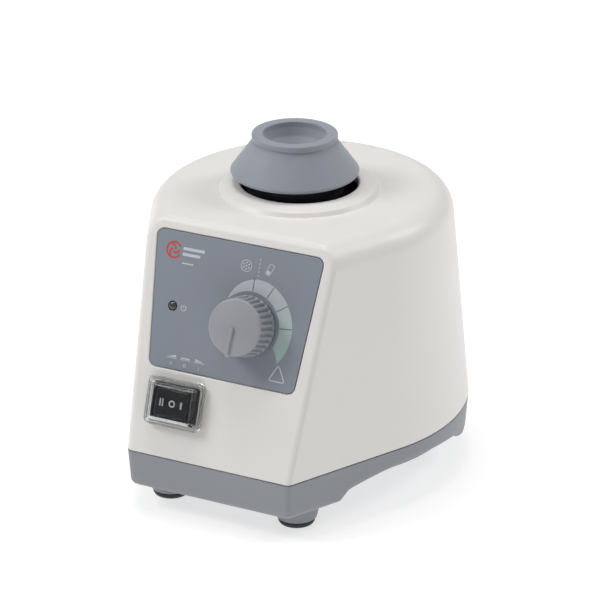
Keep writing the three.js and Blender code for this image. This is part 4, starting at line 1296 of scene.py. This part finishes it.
ROCKER_HALF = 6.7
ROCKER_PIVOT = 0.3     # height of the pivot over the face
ROCKER_END = 4.1       # height of the rocker's ends above its pivot
ROCKER_DIP = 0.5       # how much lower its middle is


def rocker_top(x):
    """Height of the rocker's face: it dips in straight lines towards the middle."""
    return ROCKER_PIVOT + ROCKER_END - ROCKER_DIP * (1 - np.abs(x) / ROCKER_HALF)


def rocker():
    """The rocker: its side view, with a dipping face and a rounded belly, carried across the switch.

    Near both sides the section shrinks about the pivot along a quarter circle, which rounds the ends.
    """
    half, middle, belly, shoulder = ROCKER_HALF, ROCKER_END - ROCKER_DIP, -4.4, -1.5
    side = [
        (0, belly), (3.4, belly), (half, shoulder), (half, ROCKER_END), (0, middle),
        (-half, ROCKER_END), (-half, shoulder), (-3.4, belly), (0, belly),
    ]
    side = rounded(side, (1, 0.5, 0.9, 6, 0.9, 0.5, 1), 5)[:-1]
    depth, edge = (POCKET[1] - 1) / 2, 1.0
    turn = np.linspace(0, np.pi / 2, 7)
    level = -depth + edge * (1 - np.cos(turn))
    scale = 1 - edge * (1 - np.sin(turn)) / half
    outlines = [side * share + (0, ROCKER_PIVOT) for share in [*scale, *scale[::-1]]]
    sideways = np.array([[1.0, 0, 0], [0, 0, 1.0], [0, 1.0, 0]])
    solid = moved(stacked(outlines, [*level, *-level[::-1]]), np.zeros(3), sideways)
    return make("rocker", on_face(solid, SWITCH_PLACE))


def rocker_marks():
    """II, O and I, raised a little and following the dip of the rocker's face."""
    low, high = -0.06, 0.07
    marks = [
        ribbon([(-4.4, -1.4), (-4.4, 1.4)], 0.48, low, high),
        ribbon([(-3.4, -1.4), (-3.4, 1.4)], 0.48, low, high),
        ribbon(circle((0.3, 0), 1.05, 32), 0.5, low, high, True),
        ribbon([(4.2, -1.3), (4.2, 1.3)], 0.75, low, high),
    ]
    for points, _ in marks:
        points[:, 2] += rocker_top(points[:, 0])
    return make("rocker_marks", *[on_face(mark, SWITCH_PLACE) for mark in marks])


# ---------------------------------------------------------------- the cup and its neck
def cup(rim_round):
    """The rubber cup: dish, flat rim, straight skirt and hollow underside, turned about its axis."""
    top, low = CUP_HIGH[2], CUP_LOW[2]
    floor, seat = top - 8.5, low + 0.1
    skirt = (CUP_HIGH[0] - CUP_LOW[0]) / 2
    rim, lip = 16.1, top - 1.9
    profile = [
        (0, floor), (6.6, floor), (10.2, floor + 3.4), (11.5, top - 2.0), (11.9, top), (rim, top),
        (rim, lip), (rim - 0.6, lip - 0.5), (skirt, low + 1.0), (skirt - 0.3, low), (skirt - 1.6, low),
        (14.4, floor - 1.2), (12.0, floor - 2.6), (12.0, seat), (5.3, seat), (5.3, seat + 3.4),
        (0, seat + 3.4),
    ]
    radii = (2.5, 3.0, 2.0, rim_round, rim_round, rim_round, 0.25, 0.6, 0.4, 0.4, 0.8, 0.5, 0, 0, 0)
    return make("rubber_cup", turned(rounded(profile, radii, 8), (CUP_X, CUP_Y), 160))


def neck():
    """The black neck: a hub with the bearing's bore, widening to a smooth drum under the skirt."""
    low, high = box("head_hub")
    drum, top = (high[0] - low[0]) / 2, CUP_LOW[2] - 0.2
    hub, foot, bore = 12.4, low[2], 9.3
    shelf = COLLAR_TOP - 4
    roof = box("eccentric_crank")[1][2] + GAP
    profile = [
        (0, roof), (bore, roof), (bore, foot), (hub, foot), (hub, shelf - 2), (drum - 0.8, shelf),
        (drum, shelf + 0.8), (drum, top), (5, top), (5, high[2]), (0, high[2]),
    ]
    radii = (0, 0.3, 0.6, 0.5, 0.3, 0.3, 0.6, 0, 0.4)
    return make("neck", turned(rounded(profile, radii, 5), (CUP_X, CUP_Y), 128))


def splash():
    """The rubber ring that keeps spills out of the opening: a clip, a sloping web and a lip."""
    low, high = box("splash_ring")
    outer, top, bottom = (high[0] - low[0]) / 2, high[2], low[2]
    inner = 15.4
    profile = [
        (inner, top - 6.6), (inner + 1.2, top - 6.6), (inner + 2, top - 3.8), (22.5, top - 3.2), (22.5, top),
        (outer, top), (outer, top - 6.0), (inner + 1.8, top - 6.0), (inner + 1.2, bottom), (inner, bottom),
        (inner, top - 6.6),
    ]
    points = rounded(profile, (0.3, 0.8, 0.5, 0.4, 0.4, 0.4, 1.0, 0.4, 0.3), 4)[:-1]
    return make("splash_seal", turned(points, (0.0, DRIVE_Y), 128, closed=True))


# ---------------------------------------------------------------- the inlet at the back
SOCKET_HEIGHT = 7.4
DRAWER_HEIGHT = -10.6
DRAWER = (22.0, 9.4)
SOCKET_FLOOR = -15.0
WELL_FLOOR = -18.0
TRAY_END = -17.4


def well_outline(grow):
    """The outline of the fuse drawer's well."""
    return rectangle(DRAWER[0] + 2 * grow, DRAWER[1] + 2 * grow, 0.8 + grow, middle=(0, DRAWER_HEIGHT))


def socket_outline(grow):
    """The keyed outline of the socket, two of its corners cut off."""
    x, y, cut = 12 + grow, 8.2 + grow, 5.0
    corners = [(0, -y), (x, -y), (x, y - cut), (x - cut, y), (-x + cut, y), (-x, y - cut), (-x, -y), (0, -y)]
    return rounded(corners, (1, 1, 1, 1, 1, 1), 5)[:-1] + (0, SOCKET_HEIGHT)


def inlet():
    """The mains inlet: flange, barrel, keyed socket with three blades, and the fuse drawer's well."""
    flange = slab(*INLET_SIZE, 1.8, GAP, GAP + INLET_FLANGE, 0.6)
    barrel = slab(INLET_SIZE[0] - 3.6, INLET_SIZE[1] - 3.6, 1, -INLET_DEPTH, GAP + 1)
    piece = make("mains_inlet", on_back(flange))
    combine(piece, "UNION", on_back(barrel))
    surface = GAP + INLET_FLANGE
    socket = trumpet(socket_outline, SOCKET_FLOOR - surface, 0.5, 4)
    well = trumpet(well_outline, WELL_FLOOR - surface, 0.3, 4)
    for points, faces in (socket, well):
        combine(piece, "DIFFERENCE", on_back((points + (0, 0, surface), faces)))
    return piece


def blades():
    """The three blades of the inlet."""
    places = ((-7, 5.6), (7, 5.6), (0, 9.4))
    root = SOCKET_FLOOR + 0.1
    return make("inlet_blades", *[on_back(slab(2, 4, 0.5, root, -3, 0.6, place)) for place in places])


def drawer():
    """The fuse drawer: a front with a finger notch, and the tray behind it."""
    width, height = DRAWER[0] - 2 * GAP, DRAWER[1] - 2 * GAP
    front = slab(width, height, 0.8, TRAY_END, GAP + INLET_FLANGE, 0.35, (0, DRAWER_HEIGHT))
    piece = make("fuse_tray", on_back(front))
    notch = slab(8, 1.2, 0.4, GAP + INLET_FLANGE - 0.8, 6, middle=(0, DRAWER_HEIGHT + height / 2 - 1.4))
    well = slab(width - 4, height - 2.4, 0.4, -16, -2.5, middle=(0, DRAWER_HEIGHT + 1.3))
    return combine(piece, "DIFFERENCE", on_back(notch), on_back(well))


# ---------------------------------------------------------------- working parts
def softened(node, width=0.25):
    """A copy of a CAD node with its corners joined, its flats whole and its edges rounded."""
    mesh = frame["nodes"][node].data.copy()
    solid = bmesh.new()
    solid.from_mesh(mesh)
    bmesh.ops.remove_doubles(solid, verts=solid.verts, dist=1e-6)
    bmesh.ops.dissolve_limit(
        solid, angle_limit=np.radians(1.0), verts=solid.verts, edges=solid.edges, delimit={"NORMAL"},
    )
    solid.to_mesh(mesh)
    solid.free()
    piece = bpy.data.objects.new(f"{node}_finished", mesh)
    bpy.context.scene.collection.objects.link(piece)
    bevel = piece.modifiers.new("rounded edges", "BEVEL")
    bevel.width = width * MM
    bevel.segments = 2
    bevel.limit_method = "ANGLE"
    bevel.angle_limit = np.radians(38)
    return piece


GUIDES = range(1, 4)        # guide posts, and the springs round them
WORKING_PARTS = {
    zinc_steel: (
        "carriage_plate", "control_shaft", "speed_control", "motor_shaft", "eccentric_crank",
        "lower_bearing", "upper_bearing", "head_bearing",
        *[f"case_screw_{index}" for index in SCREWS], *[f"guide_post_{index}" for index in GUIDES],
    ),
    core_laminate: ("motor_stator", "motor_rotor"),
    winding_enamel: ("lower_winding", "upper_winding"),
    cast_aluminium: ("lower_end_shield", "upper_end_shield", "board_bracket"),
    cast_iron: ("ballast_plate",),
    board_laminate: ("control_board",),
    sleeve_film: ("board_capacitor",),
    plunger_acetal: ("touch_plunger",),
    black_nylon: ("cooling_fan", "touch_switch", "power_transistor"),
}


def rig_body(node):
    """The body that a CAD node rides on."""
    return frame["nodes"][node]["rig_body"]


def spring(node, wire):
    """A press spring that shortens between the casing and the carriage."""
    low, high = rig.box(node)
    foot, head = list(low), list(high)
    foot[:2] = head[:2] = [(a + b) / 2 for a, b in zip(low[:2], high[:2])]
    piece = finished(softened(node), None, wire, "spring_steel", node)
    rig.blend(piece, "casing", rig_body("carriage_plate"), foot, head)


# ---------------------------------------------------------------- studio
VIEW_AZIMUTH = 26.75
VIEW_ELEVATION = 23.34
VIEW_DISTANCE = 1.15611
VIEW_TARGET = (0.0, 0.002725, 0.065)
VIEW_LENS = 182.81                      # millimetres, on a sensor 36 mm wide
VIEW_SENSOR = 36.0
VIEW_SHIFT = (0.00282, -0.00837)
FLOOR_REACH = 6.0                       # metres
SURROUND = "#fbfcff"
SURROUND_STRENGTH = 0.3
LIGHTS = {                              # place and size in metres, share of the key's power
    "key light": ((-1.1, -0.8, 1.3), 0.6, 1.0),
    "rim light": ((1.1, 0.9, 1.2), 0.6, 0.7),
    "top light": ((-0.2, 0.1, 1.9), 0.9, 1.0),
}


def stage_camera():
    """A long lens at a three-quarter view from above, turned towards the right side."""
    turn, rise = np.radians([VIEW_AZIMUTH, VIEW_ELEVATION])
    back = Vector((np.sin(turn) * np.cos(rise), -np.cos(turn) * np.cos(rise), np.sin(rise)))
    lens = bpy.data.cameras.new("camera")
    lens.sensor_width = VIEW_SENSOR
    lens.lens = VIEW_LENS
    lens.shift_x, lens.shift_y = VIEW_SHIFT
    camera = bpy.data.objects.new("camera", lens)
    camera.location = Vector(VIEW_TARGET) + back * VIEW_DISTANCE
    camera.rotation_mode = "QUATERNION"
    camera.rotation_quaternion = (-back).to_track_quat("-Z", "Y")
    bpy.context.scene.collection.objects.link(camera)
    bpy.context.scene.camera = camera


def stage_floor():
    """A wide level floor under the feet: a square grid at height 0."""
    side = np.linspace(-FLOOR_REACH, FLOOR_REACH, 13)
    x, y = np.meshgrid(side, side)
    points = np.column_stack([x.ravel(), y.ravel(), np.zeros(x.size)])
    index = np.arange(x.size).reshape(x.shape)
    faces = np.stack([index[:-1, :-1], index[:-1, 1:], index[1:, 1:], index[1:, :-1]], axis=-1)
    mesh = bpy.data.meshes.new("studio_floor")
    mesh.from_pydata(points.tolist(), [], faces.reshape(-1, 4).tolist())
    mesh.materials.append(opal_table())
    floor = bpy.data.objects.new("studio_floor", mesh)
    bpy.context.scene.collection.objects.link(floor)
    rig.stage(floor)


def soft_light(name, place, size, energy):
    """A square area light aimed at the middle of the mixer."""
    data = bpy.data.lights.new(name, "AREA")
    data.shape = "SQUARE"
    data.size = size
    data.energy = energy
    light = bpy.data.objects.new(name, data)
    light.location = place
    light.rotation_mode = "QUATERNION"
    light.rotation_quaternion = (Vector(VIEW_TARGET) - light.location).to_track_quat("-Z", "Y")
    bpy.context.scene.collection.objects.link(light)


def stage_lights(key):
    """A large soft key in front on the left, a weaker rim light behind on the right, a wide light
    overhead, and an even, nearly white surround.
    """
    world = bpy.data.worlds.new("surround")
    world.use_nodes = True
    surround = world.node_tree.nodes["Background"]
    surround.inputs["Color"].default_value = (*linear(SURROUND), 1.0)
    surround.inputs["Strength"].default_value = SURROUND_STRENGTH
    bpy.context.scene.world = world
    bpy.context.scene.view_settings.view_transform = "Standard"
    for name, (place, size, share) in LIGHTS.items():
        soft_light(name, place, size, share * key)


# ---------------------------------------------------------------- what a user may change
class MixerSizes(bpy.types.PropertyGroup):
    """Sizes of the fine shapes that don't have to fit the frame."""
    recess_edge: FloatProperty(
        name="Recess edge", description="Rounding of the moulded edge round the panel and the inlet",
        default=0.5 * MM, min=0.1 * MM, max=1.0 * MM, subtype="DISTANCE", unit="LENGTH")
    flutes: IntProperty(
        name="Knob flutes", description="How many grooves run up the side of the speed knob",
        default=30, min=12, max=60)
    flute_depth: FloatProperty(
        name="Flute depth", description="Depth of the grooves of the speed knob",
        default=0.85 * MM, min=0.1 * MM, max=1.2 * MM, subtype="DISTANCE", unit="LENGTH")
    pointer_width: FloatProperty(
        name="Pointer width", description="Width of the raised line on the speed knob",
        default=1.5 * MM, min=0.8 * MM, max=3 * MM, subtype="DISTANCE", unit="LENGTH")
    rim_round: FloatProperty(
        name="Cup rim rounding", description="Rounding of the rim of the rubber cup",
        default=0.55 * MM, min=0.1 * MM, max=0.9 * MM, subtype="DISTANCE", unit="LENGTH")
    key_energy: FloatProperty(
        name="Key light", description="Power of the large light above and to the left",
        default=12.8, min=0.0, subtype="POWER", unit="POWER")


def colour(name, description, code):
    """A colour property whose default is an sRGB hex code."""
    return FloatVectorProperty(
        name=name, description=description, default=linear(code), size=3, min=0, max=1, subtype="COLOR")


class MixerColours(bpy.types.PropertyGroup):
    """Colours of the outer finishes."""
    cover: colour("Cover", "Colour of the upper cover", "#e6e3df")
    base: colour("Base", "Colour of the base tray", "#8b8e94")
    panel: colour("Panel", "Colour of the control panel", "#868c96")
    knob: colour("Knob", "Colour of the speed knob", "#97999f")
    cup: colour("Cup", "Colour of the rubber cup", "#8d929b")
    scale_start: colour("Scale start", "Colour at the slow end of the speed scale", "#b9bec4")
    scale_end: colour("Scale end", "Colour at the fast end of the speed scale", "#9fb3ae")


class MIXER_OT_cover(bpy.types.Operator):
    """Builds the upper cover"""
    bl_idname = "mixer.cover"
    bl_label = "Upper cover"
    bl_options = {"REGISTER", "UNDO"}

    def execute(self, context):
        piece = cover(context.scene.mixer_sizes.recess_edge / MM)
        finished(piece, "casing", cover_abs(context.scene.mixer_colours), "cover_plastic", "upper_cover")
        return {"FINISHED"}


class MIXER_OT_base(bpy.types.Operator):
    """Builds the base tray and its bosses"""
    bl_idname = "mixer.base"
    bl_label = "Base tray"
    bl_options = {"REGISTER", "UNDO"}

    def execute(self, context):
        finished(base(), "casing", base_abs(context.scene.mixer_colours), "base_plastic", "base_tray")
        return {"FINISHED"}


class MIXER_OT_feet(bpy.types.Operator):
    """Builds the four rubber feet"""
    bl_idname = "mixer.feet"
    bl_label = "Feet"
    bl_options = {"REGISTER", "UNDO"}

    def execute(self, context):
        rubber = foot_rubber()
        for index in FEET:
            finished(foot(index), "casing", rubber, "foot_rubber", f"foot_{index}")
        return {"FINISHED"}


class MIXER_OT_panel(bpy.types.Operator):
    """Builds the control panel and its printing"""
    bl_idname = "mixer.panel"
    bl_label = "Control panel"
    bl_options = {"REGISTER", "UNDO"}

    def execute(self, context):
        colours = context.scene.mixer_colours
        finished(panel(), "casing", panel_film(colours), "panel_film", "front_panel")
        prints = (
            ("panel_marks", pale_prints(), ink("pale printing ink", "#c3c9ce")),
            ("emblem", swirl_emblem(), ink("red printing ink", "#c8423c")),
            ("speed_scale", [speed_scale()], scale_ink(colours)),
            ("scale_ticks", scale_ticks(), ink("dark printing ink", "#596267")),
        )
        for name, marks, surface in prints:
            piece = make(name, *[on_face(mark) for mark in marks])
            finished(piece, "casing", surface, "panel_film", weighted=False)
        return {"FINISHED"}


class MIXER_OT_knob(bpy.types.Operator):
    """Builds the fluted speed knob"""
    bl_idname = "mixer.knob"
    bl_label = "Speed knob"
    bl_options = {"REGISTER", "UNDO"}

    def execute(self, context):
        sizes = context.scene.mixer_sizes
        piece = knob(sizes.flutes, sizes.flute_depth / MM, sizes.pointer_width / MM)
        surface = knob_abs(context.scene.mixer_colours)
        finished(piece, "knob", surface, "knob_plastic", "speed_knob", sharp=60, weighted=False)
        return {"FINISHED"}


class MIXER_OT_lamp(bpy.types.Operator):
    """Builds the lens of the power lamp"""
    bl_idname = "mixer.lamp"
    bl_label = "Power lamp"
    bl_options = {"REGISTER", "UNDO"}

    def execute(self, context):
        finished(lamp(), "casing", lamp_epoxy(), "lamp_lens", "power_light")
        return {"FINISHED"}


class MIXER_OT_switch(bpy.types.Operator):
    """Builds the power switch: frame, rocker, marks and clear boot"""
    bl_idname = "mixer.switch"
    bl_label = "Power switch"
    bl_options = {"REGISTER", "UNDO"}

    def execute(self, context):
        finished(bezel(), "casing", black_nylon(), "black_plastic", "switch_housing")
        finished(rocker(), "rocker", rocker_nylon(), "black_plastic", "switch_rocker")
        marks = ink("white marking ink", "#eef0f1", 0.4)
        finished(rocker_marks(), "rocker", marks, "panel_film", weighted=False)
        finished(boot(), "casing", clear_pvc(), "clear_cover", "switch_boot", sharp=50)
        return {"FINISHED"}


class MIXER_OT_cup(bpy.types.Operator):
    """Builds the rubber cup, the neck under it and the splash ring"""
    bl_idname = "mixer.cup"
    bl_label = "Cup and neck"
    bl_options = {"REGISTER", "UNDO"}

    def execute(self, context):
        piece = cup(context.scene.mixer_sizes.rim_round / MM)
        finished(piece, "head", cup_rubber(context.scene.mixer_colours), "cup_rubber", "cup_head")
        finished(neck(), "head", neck_acetal(), "black_plastic", "head_hub")
        finished(splash(), "casing", black_rubber(), "seal_rubber", "splash_ring")
        return {"FINISHED"}


class MIXER_OT_inlet(bpy.types.Operator):
    """Builds the mains inlet and its fuse drawer"""
    bl_idname = "mixer.inlet"
    bl_label = "Mains inlet"
    bl_options = {"REGISTER", "UNDO"}

    def execute(self, context):
        nylon = black_nylon()
        finished(inlet(), "casing", nylon, "black_plastic", "power_inlet")
        finished(blades(), "casing", zinc_steel(), "steel")
        finished(drawer(), "drawer", nylon, "black_plastic", "fuse_drawer")
        return {"FINISHED"}


class MIXER_OT_working_parts(bpy.types.Operator):
    """Finishes the drive, the fasteners and the electronics inside the casing"""
    bl_idname = "mixer.working_parts"
    bl_label = "Working parts"
    bl_options = {"REGISTER", "UNDO"}

    def execute(self, context):
        slots = {row["node"]: row["material_slot"] for row in frame["record"]["subparts"]}
        for finish, nodes in WORKING_PARTS.items():
            surface = finish()
            for node in nodes:
                finished(softened(node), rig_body(node), surface, slots[node], node)
        wire = spring_wire()
        for index in GUIDES:
            spring(f"press_spring_{index}", wire)
        return {"FINISHED"}


class MIXER_OT_stage(bpy.types.Operator):
    """Sets the camera, the pale floor and the soft studio lights"""
    bl_idname = "mixer.stage"
    bl_label = "Studio"
    bl_options = {"REGISTER", "UNDO"}

    def execute(self, context):
        stage_camera()
        stage_floor()
        stage_lights(context.scene.mixer_sizes.key_energy)
        return {"FINISHED"}


OPERATORS = (
    MIXER_OT_stage, MIXER_OT_cover, MIXER_OT_base, MIXER_OT_feet, MIXER_OT_panel, MIXER_OT_knob,
    MIXER_OT_lamp, MIXER_OT_switch, MIXER_OT_cup, MIXER_OT_inlet, MIXER_OT_working_parts,
)


class MIXER_PT_panel(bpy.types.Panel):
    """Lists the builders of the mixer's pieces in the sidebar."""
    bl_idname = "MIXER_PT_panel"
    bl_label = "Vortex Mixer"
    bl_space_type = "VIEW_3D"
    bl_region_type = "UI"
    bl_category = "Mixer"

    def draw(self, context):
        """Draws the sizes, the colours and one button for each operator."""
        for group in (context.scene.mixer_sizes, context.scene.mixer_colours):
            column = self.layout.column()
            for name in group.bl_rna.properties.keys():
                if name not in ("rna_type", "name"):
                    column.prop(group, name)
        for operator in OPERATORS:
            self.layout.operator(operator.bl_idname)


CLASSES = (MixerSizes, MixerColours, *OPERATORS, MIXER_PT_panel)


def register():
    """Registers every class and hangs the two property groups on the scene."""
    for cls in CLASSES:
        bpy.utils.register_class(cls)
    bpy.types.Scene.mixer_sizes = PointerProperty(type=MixerSizes)
    bpy.types.Scene.mixer_colours = PointerProperty(type=MixerColours)


def unregister():
    """Undoes register."""
    del bpy.types.Scene.mixer_colours
    del bpy.types.Scene.mixer_sizes
    for cls in reversed(CLASSES):
        bpy.utils.unregister_class(cls)


def main():
    register()
    for operator in OPERATORS:
        group, name = operator.bl_idname.split(".")
        getattr(getattr(bpy.ops, group), name)()
    with open(SIZE_FILE, "w") as file:
        boxes = {"cad": cad_box, "visual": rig.bounds()}
        json.dump({name: [list(corner) for corner in pair] for name, pair in boxes.items()}, file)


if __name__ == "__main__":
    main()
